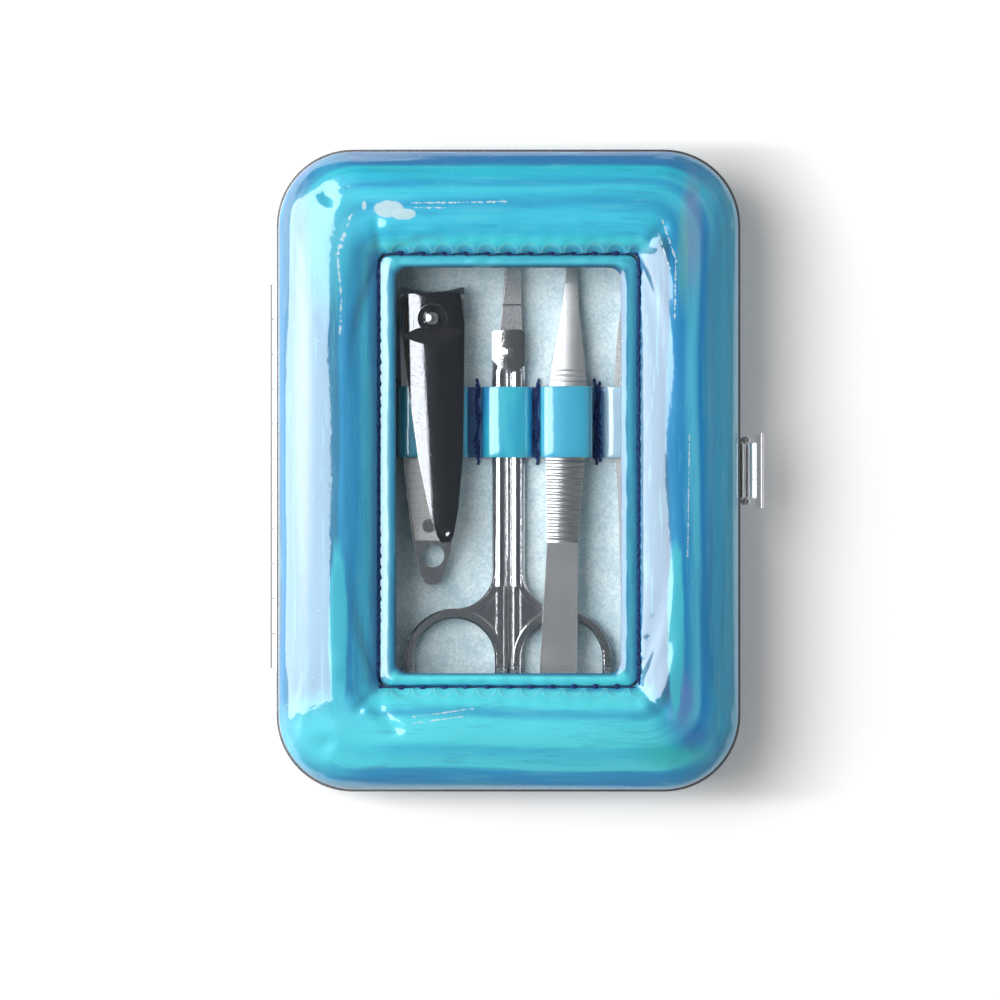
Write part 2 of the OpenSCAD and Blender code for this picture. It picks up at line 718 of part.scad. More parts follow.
// Polished lever with its fulcrum bend, turned a little on the pin
module clipper_lever() color("gray") translate([clip_x, pin_y, 0]) rotate([0, 0, lever_turn])
    difference() {
        intersection() {
            linear_extrude(tall) polygon(concat(
                [for (p = lever_half) [p[1] * clipper_w, -p[0]]],
                [for (p = reversed(lever_half)) [-p[1] * clipper_w, -p[0]]]));
            translate([-clipper_w, 0, 0]) rotate([90, 0, 90]) linear_extrude(2 * clipper_w)
                lever_side();
            translate([0, past / 4, lever_z + lever_t - crown_r]) rotate([90, 0, 0])
                cylinder(r = crown_r, h = past / 2, $fn = 120);
        }
        translate([0, 0, -1]) cylinder(r = clip_pin_r + side_gap, h = tall);
        translate([0, 0, lever_z + lever_t - 0.3]) cylinder(r = 2.6, h = tall);
        translate([0, -38.2, lever_z + lever_t + 1.25]) sphere(1.5);
    }

// Radius of the lever's crowned face, across its width
crown_r = 24;

// Side profile of the lever: flat handle, fulcrum bend and front plate
module lever_side() {
    dip = jaw_root_z + leaf_t + 0.2 - lever_z;
    polygon([[-40, lever_z], [-5.5, lever_z], [-3.4, lever_z + dip], [-2, lever_z + dip],
        [-0.6, lever_z], [4.7, lever_z], [4.7, lever_z + lever_t - 0.2], [3.8, lever_z + lever_t],
        [-1.2, lever_z + lever_t], [-2.7, lever_z + lever_t + dip * 0.8],
        [-4.6, lever_z + lever_t], [-38, lever_z + lever_t], [-40, lever_z + lever_t - 0.35]]);
}

// Ring section: an upright bar with round sides
module ring_section(inset = 0) {
    intersection() {
        square([ring_wall - 2 * inset, ring_t - 2 * inset], center = true);
        circle(r = ring_t / 2 + 0.12 - inset);
    }
}

// Long finger ring: two half turns joined by straight sides
module finger_ring() {
    mid = ring_half_w - ring_wall / 2;
    run = ring_half_l - ring_half_w;
    for (s = [0, 180]) rotate([0, 0, s]) translate([0, run, 0])
        rotate_extrude(angle = 180) translate([mid, 0]) ring_section();
    for (s = [-1, 1]) translate([s * mid, run, 0]) rotate([90, 0, 0])
        linear_extrude(2 * run) ring_section();
}

// Web between a shank and its ring, drawn for the left hand side, thinner than the bars round it
module web() {
    hole_w = ring_half_w - ring_wall + web_in;
    run = ring_half_l - ring_half_w;
    top = ring_y + ring_half_l + bow_r;
    translate([0, 0, -web_t / 2]) linear_extrude(web_t) difference() {
        polygon([[-ring_x, ring_y + run], [-ring_x, top + run], [-split, top + run],
            [-split, ring_y + run], [-split - 0.5, ring_y - run], [-ring_wall, ring_y - run]]);
        translate([-ring_x, top]) circle(bow_r + web_in);
        translate([-ring_x - 1, top]) square([ring_x + 1 - shank_w / 2, 4 * run]);
        translate([-ring_x, ring_y]) {
            translate([0, run]) circle(hole_w);
            translate([0, -run]) circle(hole_w);
            square([2 * hole_w, 2 * run], center = true);
        }
    }
}

// Bars that frame the web: a bow from ring to shank, and the shank's bar run down into the ring
module web_bars() {
    top = ring_y + ring_half_l + bow_r;
    translate([-ring_x, top, 0]) rotate([0, 0, 270 + bow_start])
        rotate_extrude(angle = 90 - bow_start) translate([bow_r + ring_wall / 2, 0])
            ring_section(bar_inset);
    translate([-ring_x + ring_half_w - ring_wall / 2, top + 1, 0]) rotate([90, 0, 0])
        linear_extrude(top + 1 - ring_y) ring_section(bar_inset);
}

// Blade outline: full at the screw, drawn to a point
module blade_outline(side) polygon([[-1.5, screw_y], [-1.5, screw_y + 3.5],
    [-0.55 + 0.2 * side, screw_y + 0.71 * blade_l], [0.9, screw_y + blade_l],
    [1.2, screw_y + blade_l], [2.0 + 0.15 * side, screw_y + 0.71 * blade_l],
    [2.4, screw_y + 3.5], [2.4, screw_y]]);

// One half of the scissors, in one layer at the screw; side is -1 on the left
module scissors_half(side) {
    layer = side < 0 ? tool_z : tool_z + half_t + split / 2;
    shank_top = screw_y - 1;
    difference() {
        union() {
            intersection() {
                translate([0, shank_top, 0]) rotate([90, 0, 0])
                    linear_extrude(shank_top - shank_low - 4) shank_section(side);
                translate([side < 0 ? -past : split, -past / 2, 0]) cube([past - split, past, tall]);
            }
            mirror([side < 0 ? 0 : 1, 0, 0]) {
                translate([0, 0, tool_z + shank_t / 2]) {
                    web();
                    web_bars();
                    translate([-ring_x, ring_y]) finger_ring();
                }
            }
        }
        translate([0, screw_y, side < 0 ? tool_z + half_t - split / 2 : tool_z - 1])
            cylinder(r = head_r + 0.25, h = side < 0 ? 10 : half_t + 1 + split / 2);
        translate([0, screw_y, 0]) cylinder(r = screw_r + run_gap, h = tall);
    }
    difference() {
        translate([0, 0, layer]) linear_extrude(half_t - split / 2) {
            translate([0, screw_y]) circle(head_r);
            translate([0, screw_y]) box_outline();
            intersection() {
                translate([side < 0 ? -head_r : split, screw_y - head_r - 0.8])
                    square([head_r - split, head_r + 0.8]);
                translate([0, screw_y]) circle(head_r + 0.8);
            }
        }
        translate([0, screw_y, 0]) cylinder(r = screw_r + run_gap, h = tall);
    }
    difference() {
        intersection() {
            translate([0, 0, layer]) linear_extrude(half_t - split / 2) blade_outline(side);
            translate([-10, 0, 0]) rotate([90, 0, 90]) linear_extrude(20) blade_side(side);
        }
        translate([0, screw_y, 0]) cylinder(r = screw_r + run_gap, h = tall);
    }
}

// Thickness of the blades along their length, ground thin from a line past the screw
module blade_side(side) {
    mid = tool_z + half_t;
    grind = screw_y + 8.3;
    polygon([[screw_y - 1, mid], [screw_y - 1, mid + side * half_t],
        [grind, mid + side * half_t * 0.92], [grind + 0.3, mid + side * half_t * 0.78],
        [screw_y + blade_l, mid + side * 0.35], [screw_y + blade_l, mid]]);
}

// Box shaped end of a half, beyond the screw, with its outer corners rounded
module box_outline() {
    translate([-head_r, 0]) square([2 * head_r, box_l - box_corner]);
    translate([-head_r + box_corner, 0]) square([2 * (head_r - box_corner), box_l]);
    for (s = [-1, 1]) translate([s * (head_r - box_corner), box_l - box_corner]) circle(box_corner);
}

// Section of a shank, flat inside and round on top
module shank_section(side) {
    half = shank_w / 2;
    intersection() {
        translate([side < 0 ? -half : 0, tool_z]) square([half, shank_t]);
        translate([side * half / 2, tool_z + shank_t - shank_r]) circle(shank_r);
    }
}

module scissors_left() color("silver") scissors_half(-1);
module scissors_right() color("silver") scissors_half(1);

// Screw of the scissors, slotted, with its riveted end below
module scissors_screw() color("gray") translate([0, screw_y, 0]) difference() {
    union() {
        translate([0, 0, tool_z + 0.02]) cylinder(r = screw_r, h = shank_t + 0.1);
        translate([0, 0, tool_z + shank_t + 0.03]) cylinder(r1 = 1.15, r2 = 0.85, h = 0.4);
    }
    translate([-0.12, -2, tool_z + shank_t + 0.25]) cube([0.24, 4, 1]);
}

// Half widths of the tweezers from the tip, as a share of the grip width
twz_half = [[0, 0.09], [0.4, 0.14], [tip_run, 0.165], [7.1, 0.2], [twz_shoulder, 0.205],
    [18.6, 0.42], [21.7, 0.465], [34.6, 0.5], [49.7, 0.393], [71.6, 0.471]];
twz_end = [[0, 0.46], [1.2, 0.40], [1.9, 0.30], [2.2, 0.16]];
twz_rows = concat(twz_half, [for (p = twz_end) [tweezer_l - 2.2 + p[0], p[1]]]);

// Outline of both arms
module tweezer_outline() polygon(concat([for (p = twz_rows) [p[1] * grip_w, -p[0]]],
    [for (p = reversed(twz_rows)) [-p[1] * grip_w, -p[0]]]));

// Bow of the upper arm above the lower, smooth from the tips to the joined end
function bow(v) = arm_bow * pow(sin(180 * pow(min(1, v / (tweezer_l - 8)), 0.9)), 1.4);

// Places the tweezers: leaning in plan, tips low and joined end over the ring
module on_tweezers() translate([twz_tip[0], twz_tip[1], tool_z]) rotate([-twz_tilt, 0, -twz_lean])
    children();

// A side profile in Y and Z, made wide enough for the arms
module tweezer_side() translate([-grip_w, 0, 0]) rotate([90, 0, 90]) linear_extrude(2 * grip_w)
    children();

bow_steps = 24;

// One rib of the grip: a bar across the upper arm, h proud of it
module rib(v, r, h) translate([-grip_w, -v, 2 * arm_t + touch + bow(v) + h - r])
    rotate([0, 90, 0]) cylinder(r = r, h = 2 * grip_w);

// Upper arm: bowed spring steel with ribbed grips
module tweezer_upper_arm() color("silver") on_tweezers() intersection() {
    translate([0, 0, -10]) linear_extrude(30) tweezer_outline();
    union() {
        tweezer_side() polygon(concat(
            [for (i = [0:bow_steps]) let (v = tweezer_l * i / bow_steps)
                [-v, arm_t + touch + bow(v)]],
            [for (i = [bow_steps:-1:0]) let (v = tweezer_l * i / bow_steps)
                [-v, (v < tip_run ? 1 + tip_thin : 2) * arm_t + touch + bow(v)]]));
        for (v = [grip_from:rib_pitch:grip_to]) rib(v, rib_r, rib_h);
        for (k = [0:2]) rib(fine_from + k * fine_pitch, fine_rib_r, fine_rib_r / 2);
        translate([-grip_w, -twz_shoulder - 0.5, arm_t + bow(twz_shoulder)])
            cube([2 * grip_w, 0.5, arm_t + 0.15]);
    }
}

// Lower arm, flat
module tweezer_lower_arm() color("silver") on_tweezers() linear_extrude(arm_t) tweezer_outline();

// Half widths of the nail file from its tip, as a share of its width
file_half = [[0, 0.03], [0.03, 0.12], [0.1, 0.26], [0.22, 0.41], [0.34, 0.485], [0.43, 0.5],
    [0.56, 0.47], [0.7, 0.4], [0.85, 0.36], [0.96, 0.34], [0.99, 0.24], [1, 0.1]];

// Leaf shaped nail file, thinner at its edges
module nail_file() color("silver") translate([file_x, file_tip_y, tool_z]) {
    linear_extrude(file_t * 0.6) nail_file_outline(1);
    linear_extrude(file_t) nail_file_outline(0.72);
}

module nail_file_outline(k) polygon(concat(
    [for (p = file_half) [k * p[1] * file_w, -p[0] * file_l * k - (1 - k) * file_l / 2]],
    [for (p = reversed(file_half)) [-k * p[1] * file_w, -p[0] * file_l * k - (1 - k) * file_l / 2]]));

lower_frame();
back_cover();
back_padding();
tray_board();
tray_lining();
tool_band();
hinge_pin();
clasp_bracket();
clasp_rivets();
clasp_pin();
clasp_spring();
upper_frame();
lid_cover();
lid_foam();
lid_board();
window_film();
window_hem();
lid_lining();
clasp_catch();
clasp_lever();
clipper_lower_leaf();
clipper_upper_leaf();
clipper_rivet();
clipper_pin();
clipper_lever();
clipper_file();
scissors_left();
scissors_right();
scissors_screw();
tweezer_upper_arm();
tweezer_lower_arm();
nail_file();
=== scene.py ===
# %% [markdown]
# A manicure set case lies on a table: a padded lid in mirror gloss foil with a window, two metal
# frames joined by a knuckled hinge, a spring clasp, and a set of small tools held by a band.
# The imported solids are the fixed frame. Every soft piece is made anew round them, and every
# hard piece keeps its solid and gets its finish here.

# %% Load the solids
import math

import bmesh
import bpy
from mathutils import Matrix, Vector
from mathutils import noise


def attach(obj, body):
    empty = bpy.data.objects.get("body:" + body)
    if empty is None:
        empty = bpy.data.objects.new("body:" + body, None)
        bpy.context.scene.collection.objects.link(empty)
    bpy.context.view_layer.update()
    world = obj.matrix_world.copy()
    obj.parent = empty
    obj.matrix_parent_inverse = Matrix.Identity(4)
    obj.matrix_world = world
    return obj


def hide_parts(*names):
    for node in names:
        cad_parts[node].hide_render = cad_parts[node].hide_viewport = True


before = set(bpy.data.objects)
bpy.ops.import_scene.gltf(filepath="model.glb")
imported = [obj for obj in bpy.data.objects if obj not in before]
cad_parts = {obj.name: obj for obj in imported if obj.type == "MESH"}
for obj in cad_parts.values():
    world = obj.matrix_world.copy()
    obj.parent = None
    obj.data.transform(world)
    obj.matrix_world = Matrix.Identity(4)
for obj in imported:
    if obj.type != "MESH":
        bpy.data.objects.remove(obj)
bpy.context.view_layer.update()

MM = 0.001

# %% [markdown]
# The camera comes first, since every choice of detail depends on it. The case is seen from
# straight above at arm's length, so a long lens keeps the padding's sides hidden as they are
# on the real piece. The view is a little to the left and below the middle of the case.

# %% Camera
VIEW_WIDTH = 176 * MM
VIEW_LEVEL = 19 * MM
CAMERA_RISE = 700 * MM
SENSOR = 36

bpy.ops.object.camera_add(location=(-1.5 * MM, -5.2 * MM, VIEW_LEVEL + CAMERA_RISE))
camera = bpy.context.object
camera.name = "camera"
camera.data.sensor_width = SENSOR
camera.data.lens = SENSOR * CAMERA_RISE / VIEW_WIDTH
camera.data.clip_start = 10 * MM
bpy.context.scene.camera = camera
bpy.context.scene.view_settings.view_transform = "Standard"
print("lens", round(camera.data.lens, 1), "mm")

# %% [markdown]
# One big soft box stands on the left, reaching from near the table to almost overhead. Its
# pale mirror image runs along the left of the padding and along the right slope of the window,
# so its place is read from the two slopes that show it. The studio around is white at table
# level and dims towards the ceiling, which is what leaves flat chrome dark in the middle. Its
# walls above, below and to the right are dimmer too, so the foil keeps its deep colours there.

# %% Light
BOX_SPAN = 700 * MM
BOX_LENGTH = 430 * MM
BOX_DISTANCE = 500 * MM
BOX_MIDDLE = 95 * MM
BOX_TILT = math.radians(46.5)
BOX_POWER = 3.8
WALL_DIM = 0.25
WALL_SPAN = (0.3, 0.75)
CEILING_SPAN = (0.35, 0.9)
CEILING = (0.10, 0.11, 0.12, 1)
WHITE = (1, 1, 1, 1)


def soft_box():
    """A rectangular lamp on the left, turned to face the case."""
    place = (-BOX_DISTANCE * math.sin(BOX_TILT), BOX_MIDDLE, BOX_DISTANCE * math.cos(BOX_TILT))
    bpy.ops.object.light_add(type="AREA", location=place, rotation=(0, -BOX_TILT, 0))
    lamp = bpy.context.object
    lamp.name = "soft_box"
    lamp.data.shape = "RECTANGLE"
    lamp.data.size = BOX_SPAN
    lamp.data.size_y = BOX_LENGTH
    lamp.data.energy = BOX_POWER
    return lamp


def seen_rays(nodes, links):
    """1 for camera, glossy and transmission rays, and 0 for the rays that light surfaces."""
    path = nodes.new("ShaderNodeLightPath")
    first = nodes.new("ShaderNodeMath")
    first.operation = "MAXIMUM"
    second = nodes.new("ShaderNodeMath")
    second.operation = "MAXIMUM"
    links.new(path.outputs["Is Camera Ray"], first.inputs[0])
    links.new(path.outputs["Is Glossy Ray"], first.inputs[1])
    links.new(first.outputs[0], second.inputs[0])
    links.new(path.outputs["Is Transmission Ray"], second.inputs[1])
    return second.outputs[0]


def studio_world(fill):
    """A backdrop that is white low down and dims overhead, with fill as its light."""
    world = bpy.data.worlds.new("studio")
    bpy.context.scene.world = world
    world.use_nodes = True
    nodes = world.node_tree.nodes
    links = world.node_tree.links
    backdrop = nodes["Background"]
    direction = nodes.new("ShaderNodeTexCoord")
    parts = nodes.new("ShaderNodeSeparateXYZ")
    rise = nodes.new("ShaderNodeValToRGB")
    along = nodes.new("ShaderNodeMath")
    along.operation = "ABSOLUTE"
    sideways = nodes.new("ShaderNodeMath")
    sideways.operation = "MAXIMUM"
    walls = nodes.new("ShaderNodeMapRange")
    walls.inputs["From Min"].default_value = WALL_SPAN[0]
    walls.inputs["From Max"].default_value = WALL_SPAN[1]
    walls.inputs["To Min"].default_value = 1
    walls.inputs["To Max"].default_value = WALL_DIM
    tinted = nodes.new("ShaderNodeVectorMath")
    tinted.operation = "SCALE"
    links.new(direction.outputs["Generated"], parts.inputs[0])
    links.new(parts.outputs["Z"], rise.inputs[0])
    links.new(parts.outputs["Y"], along.inputs[0])
    links.new(along.outputs[0], sideways.inputs[0])
    links.new(parts.outputs["X"], sideways.inputs[1])
    links.new(sideways.outputs[0], walls.inputs["Value"])
    links.new(rise.outputs[0], tinted.inputs[0])
    links.new(walls.outputs[0], tinted.inputs["Scale"])
    links.new(tinted.outputs[0], backdrop.inputs["Color"])
    for element, place, colour in zip(rise.color_ramp.elements, CEILING_SPAN, (WHITE, CEILING)):
        element.position = place
        element.color = colour
    level = nodes.new("ShaderNodeMapRange")
    level.inputs["To Min"].default_value = fill
    level.inputs["To Max"].default_value = 1
    links.new(seen_rays(nodes, links), level.inputs["Value"])
    links.new(level.outputs[0], backdrop.inputs["Strength"])
    return world


soft_box()
studio_world(fill=1.0)
print("lit by one soft box of", round(BOX_SPAN, 2), "by", round(BOX_LENGTH, 2), "m")

# %% [markdown]
# Pieces are shaped in edit mode as by hand. These helpers do what a hand does with the mouse:
# leave nothing selected, open a piece for editing, and pick parts of it by where they are.

# %% Tools for shaping


def deselect():
    """Nothing stays selected, so that the next operator acts on the new piece only."""
    if bpy.context.object and bpy.context.object.mode != "OBJECT":
        bpy.ops.object.mode_set(mode="OBJECT")
    bpy.ops.object.select_all(action="DESELECT")


def edit(piece):
    """Opens one piece in edit mode."""
    deselect()
    piece.select_set(True)
    bpy.context.view_layer.objects.active = piece
    bpy.ops.object.mode_set(mode="EDIT")


def choose(kind, test):
    """In edit mode, selects only the parts whose middle, in millimetres, passes the test."""
    bpy.ops.mesh.select_mode(type=kind)
    bpy.ops.mesh.select_all(action="DESELECT")
    mesh = bmesh.from_edit_mesh(bpy.context.object.data)
    parts = {"VERT": mesh.verts, "EDGE": mesh.edges, "FACE": mesh.faces}[kind]
    found = 0
    for part in parts:
        corners = [part.co] if kind == "VERT" else [v.co for v in part.verts]
        if test(sum(corners, Vector()) / len(corners) / MM):
            part.select_set(True)
            found += 1
    bmesh.update_edit_mesh(bpy.context.object.data)
    return found


def close_edit(piece, name, smooth=True):
    """Back to object mode, with the piece's place in its mesh."""
    deselect()
    piece.select_set(True)
    bpy.context.view_layer.objects.active = piece
    piece.name = name
    piece.data.name = name
    bpy.ops.object.transform_apply(location=True, rotation=True, scale=True)
    if smooth:
        bpy.ops.object.shade_smooth_by_angle(angle=math.radians(50))
    return piece


def add_modifier(piece, kind, **settings):
    """Adds a modifier with its settings and applies it."""
    bpy.context.view_layer.objects.active = piece
    modifier = piece.modifiers.new(kind.lower(), kind)
    for key, value in settings.items():
        setattr(modifier, key, value)
    bpy.ops.object.modifier_apply(modifier=modifier.name)


def face_outwards():
    """In edit mode, turns every face of a closed piece outwards."""
    bpy.ops.mesh.select_all(action="SELECT")
    bpy.ops.mesh.normals_make_consistent(inside=False)


def height_on(points, x):
    """Height at x of a smooth curve through (x, height) points."""
    last = len(points) - 1
    if x <= points[0][0]:
        return points[0][1]
    if x >= points[last][0]:
        return points[last][1]
    i = next(k for k in range(last) if points[k + 1][0] >= x)
    before = points[max(i - 1, 0)]
    here = points[i]
    after = points[i + 1]
    beyond = points[min(i + 2, last)]
    width = after[0] - here[0]
    u = (x - here[0]) / width
    lean_in = (after[1] - before[1]) / (after[0] - before[0]) * width
    lean_out = (beyond[1] - here[1]) / (beyond[0] - here[0]) * width
    return ((2 * u ** 3 - 3 * u ** 2 + 1) * here[1] + (u ** 3 - 2 * u ** 2 + u) * lean_in
            + (3 * u ** 2 - 2 * u ** 3) * after[1] + (u ** 3 - u ** 2) * lean_out)


def step(low, high, x):
    """0 on the low side, 1 on the high side, and smooth between; high may be the smaller number."""
    u = min(1, max(0, (x - low) / (high - low)))
    return u * u * (3 - 2 * u)


# %% [markdown]
# The lid's padding is a ring between two outlines: the metal frame outside and the stitch line
# round the window inside. A point of the ring is best described by its share of the way from
# one to the other, 0 at the frame and 1 at the stitches, since the section, the colour bands
# and the folds all follow that share round the corners.

# %% The ring and its shares
FRAME_EDGE = (41.0, 56.75, 13.5)
STITCH_EDGE = (22.9, 38.05, 2.0)
CORNER_CUTS = 16
END_CUTS = 44
SIDE_CUTS = 76


def between(share):
    """Half width, half length and corner radius of the outline at a share."""
    return tuple(a + (b - a) * share for a, b in zip(FRAME_EDGE, STITCH_EDGE))


def outside_of(x, y, shape):
    """How far a point lies outside a rounded outline; negative inside it."""
    half_x, half_y, radius = shape
    dx = abs(x) - half_x + radius
    dy = abs(y) - half_y + radius
    return math.hypot(max(dx, 0), max(dy, 0)) + min(max(dx, dy), 0) - radius


def share_at(x, y):
    """The share whose outline passes through a point, in millimetres."""
    low = -0.1
    high = 1.15
    for _ in range(24):
        middle = (low + high) / 2
        if outside_of(x, y, between(middle)) < 0:
            low = middle
        else:
            high = middle
    return (low + high) / 2


def outline(shape, height, corner_cuts=CORNER_CUTS, end_cuts=END_CUTS, side_cuts=SIDE_CUTS):
    """A rounded wire outline: a plane with its corners bevelled and its edges divided."""
    half_x, half_y, radius = shape
    deselect()
    bpy.ops.mesh.primitive_plane_add(size=2 * MM, location=(0, 0, height * MM))
    piece = bpy.context.object
    bpy.ops.object.transform_apply(location=True)
    edit(piece)
    bpy.ops.mesh.select_all(action="SELECT")
    bpy.ops.transform.resize(value=(half_x, half_y, 1), center_override=(0, 0, 0))
    bpy.ops.mesh.bevel(offset=radius * MM, segments=corner_cuts, affect="VERTICES",
                       profile=0.5, clamp_overlap=False)
    bpy.ops.mesh.delete(type="ONLY_FACE")
    choose("EDGE", lambda m: abs(m.x) < 0.01)
    bpy.ops.mesh.subdivide(number_cuts=end_cuts - 1)
    choose("EDGE", lambda m: abs(m.y) < 0.01)
    bpy.ops.mesh.subdivide(number_cuts=side_cuts - 1)
    deselect()
    return piece


def choose_loops(*loops):
    """In edit mode, selects the edges that run along these outlines, each a shape and a height."""
    bpy.ops.mesh.select_mode(type="EDGE")
    bpy.ops.mesh.select_all(action="DESELECT")
    mesh = bmesh.from_edit_mesh(bpy.context.object.data)
    for shape, height in loops:
        near = {v.index for v in mesh.verts if abs(v.co.z / MM - height) < 0.002
                and abs(outside_of(v.co.x / MM, v.co.y / MM, shape)) < 0.01}
        for edge in mesh.edges:
            if edge.verts[0].index in near and edge.verts[1].index in near:
                edge.select_set(True)
    bmesh.update_edit_mesh(bpy.context.object.data)


def bridged(name, loops, closed=False, cuts=None):
    """Outlines bridged one to the next, with rows cut between some; no two lie at one height."""
    cuts = cuts or {}
    pieces = [outline(shape, height) for shape, height in loops]
    deselect()
    for piece in pieces:
        piece.select_set(True)
    bpy.context.view_layer.objects.active = pieces[0]
    bpy.ops.object.join()
    skin = bpy.context.object
    edit(skin)
    pairs = list(zip(loops, loops[1:]))
    if closed:
        pairs.append((loops[-1], loops[0]))
    for i, (here, there) in enumerate(pairs):
        choose_loops(here, there)
        bpy.ops.mesh.bridge_edge_loops(number_cuts=cuts.get(i, 0), interpolation="LINEAR")
    face_outwards()
    return close_edit(skin, name)


print("half way between frame and stitches:", [round(v, 1) for v in between(0.5)])

# %% [markdown]
# The padded ring is foam under a thin foil skin. Its outer slope is long and gentle, its crest
# lies near the window, and the short inner slope runs down to the stitches. Towards the upper left
# corner the foam fills the foil more. The skin is bridged between outlines, and its rows are
# raised to the section of the padding.

# %% Padded ring of the lid
LID_LEVEL = 16.0
PAD_SECTION = [(0.024, 1.61), (0.055, 2.67), (0.105, 3.63), (0.2, 4.51), (0.3, 5.05), (0.42, 5.55),
               (0.55, 5.98), (0.66, 6.2), (0.74, 6.11), (0.81, 5.77), (0.88, 5.12), (0.94, 4.31),
               (1.0, 3.26)]
WALL_LOOPS = [(0.035, 0.05), (0.022, 0.75), (0.024, 1.61)]
SLOPE_CUTS = 36
UNDERSIDE = [(1.0, 2.27), (0.078, 2.22), (0.056, 0.08)]
FULL_SECTION = [(0.024, 1.61), (0.055, 2.9), (0.105, 4.3), (0.2, 5.42), (0.3, 5.72), (0.42, 5.92),
                (0.55, 6.1), (0.66, 6.2), (0.74, 6.11), (0.81, 5.77), (0.88, 5.12), (0.94, 4.31),
                (1.0, 3.26)]


def lid_loop(share, rise):
    """An outline of the ring at a share and a height above the lid frame."""
    return between(share), LID_LEVEL + rise


def straight(share):
    """Height of the rows between the wall and the stitches before they are raised."""
    (low_share, low), (high_share, high) = WALL_LOOPS[-1], PAD_SECTION[-1]
    return low + (high - low) * (share - low_share) / (high_share - low_share)


def fullness(x, y):
    """1 where the foam fills the foil right to the frame, and 0 where it slopes gently."""
    upper = step(8, 52, y)
    lower = 0.3 * step(-8, -22, y)
    return max(upper, lower) * step(-8, -26, x)


def raise_rows(piece):
    """Moves each row between the wall and the stitches to its height in the section."""
    for vert in piece.data.vertices:
        x, y, z = vert.co / MM
        share = share_at(x, y)
        if abs(z - LID_LEVEL - straight(share)) < 0.04 and share > 0.02:
            gentle = height_on(PAD_SECTION, share)
            full = height_on(FULL_SECTION, share)
            vert.co.z = (LID_LEVEL + gentle + (full - gentle) * fullness(x, y)) * MM
    piece.data.update()


lid_loops = [lid_loop(*w) for w in WALL_LOOPS] + [lid_loop(1.0, PAD_SECTION[-1][1])]
lid_loops += [lid_loop(*u) for u in UNDERSIDE]
lid_skin = bridged("lid_skin", lid_loops, closed=True, cuts={2: SLOPE_CUTS})
raise_rows(lid_skin)
print("lid skin:", len(lid_skin.data.polygons), "faces before the cloth settles")

# %% [markdown]
# A sewn skin over foam is full between its holds and drawn in where it is sewn. Cloth
# simulation gives that without guessing: the ring is held at the frame, below, and at each
# needle hole, and air pressure fills the rest. Cloth is tuned for pieces as big as a person, so
# the ring is settled at ten times its size and brought back, and no point may travel far.

# %% Cloth settles on the foam
STITCH_PITCH = 3.79
SIM_SCALE = 10
SIM_FRAMES = 16
MOST_TRAVEL = 0.45


def along_at(x, y):
    """Distance along the stitch line from the middle of the nearest side."""
    half_x, half_y, _ = STITCH_EDGE
    if abs(x) / half_x > abs(y) / half_y:
        return y
    return x


def stitch_phase(x, y):
    """1 at a needle hole of the stitch line and -1 half way to the next."""
    return math.cos(2 * math.pi * along_at(x, y) / STITCH_PITCH)


def settle_cloth(piece, held):
    """Blows up a closed piece under its holds, keeps each point's travel small, and applies it."""
    rest = [v.co.copy() for v in piece.data.vertices]
    group = piece.vertex_groups.new(name="held")
    for vert in piece.data.vertices:
        x, y, z = vert.co / MM
        hold = held(x, y, z)
        if hold > 0:
            group.add([vert.index], hold, "REPLACE")
        vert.co *= SIM_SCALE
    cloth = piece.modifiers.new("cloth", "CLOTH")
    cloth.settings.quality = 6
    cloth.settings.mass = 0.3
    cloth.settings.tension_stiffness = 20
    cloth.settings.compression_stiffness = 20
    cloth.settings.bending_stiffness = 1.5
    cloth.settings.vertex_group_mass = "held"
    cloth.settings.use_pressure = True
    cloth.settings.uniform_pressure_force = 4
    cloth.settings.shrink_min = 0.004
    cloth.settings.effector_weights.gravity = 0
    cloth.collision_settings.use_collision = False
    cloth.point_cache.frame_start = 1
    cloth.point_cache.frame_end = SIM_FRAMES
    for number in range(1, SIM_FRAMES + 1):
        bpy.context.scene.frame_set(number)
    settled = piece.evaluated_get(bpy.context.evaluated_depsgraph_get())
    moved = [v.co.copy() / SIM_SCALE for v in settled.data.vertices]
    piece.modifiers.remove(cloth)
    piece.vertex_groups.remove(group)
    bpy.context.scene.frame_set(1)
    furthest = 0
    for vert, start, end in zip(piece.data.vertices, rest, moved):
        travel = end - start
        furthest = max(furthest, travel.length)
        if travel.length > MOST_TRAVEL * MM:
            travel *= MOST_TRAVEL * MM / travel.length
        vert.co = start + travel
    piece.data.update()
    return furthest / MM


def held_lid(x, y, z):
    """Full hold at the frame, below and at the needle holes, and none on the padding."""
    share = share_at(x, y)
    if z < LID_LEVEL + 1.7 or (z < LID_LEVEL + 2.4 and share < 0.995):
        return 1
    if share > 0.985:
        return 1 if z < LID_LEVEL + 3 or stitch_phase(x, y) > 0.6 else 0.35
    return 0


print("cloth settled, furthest point moved", round(settle_cloth(lid_skin, held_lid), 2), "mm")

# %% [markdown]
# Real patent foil is never quite even. Every stitch draws it in, so that small arcs stand
# outside the needle holes, and at each inner corner it has more length than it needs and lies
# in a fold. Both are moved into the mesh, since a mirror finish shows each small slope.

# %% Puckers, folds and waves
PUCKER_END = 0.17
PUCKER_SIDE = 0.07
PUCKER_REACH = 2.4
FOLDS = [((-22.7, 38.6), (-23.2, 43.5), 0.9, 0.22), ((-28.4, -36.0), (-20.0, -45.3), 1.2, 0.32),
         ((-22.8, -38.3), (-26.2, -41.6), 0.8, 0.30), ((22.9, -38.3), (27.6, -42.8), 1.0, 0.30),
         ((22.9, 38.4), (26.8, 42.4), 0.9, 0.22), ((27.2, 43.5), (29.4, 36.0), 0.45, 0.10),
         ((-31.2, -18.0), (-31.4, -41.0), 1.6, -0.12)]
WAVE = 0.10
RIPPLE = 0.025


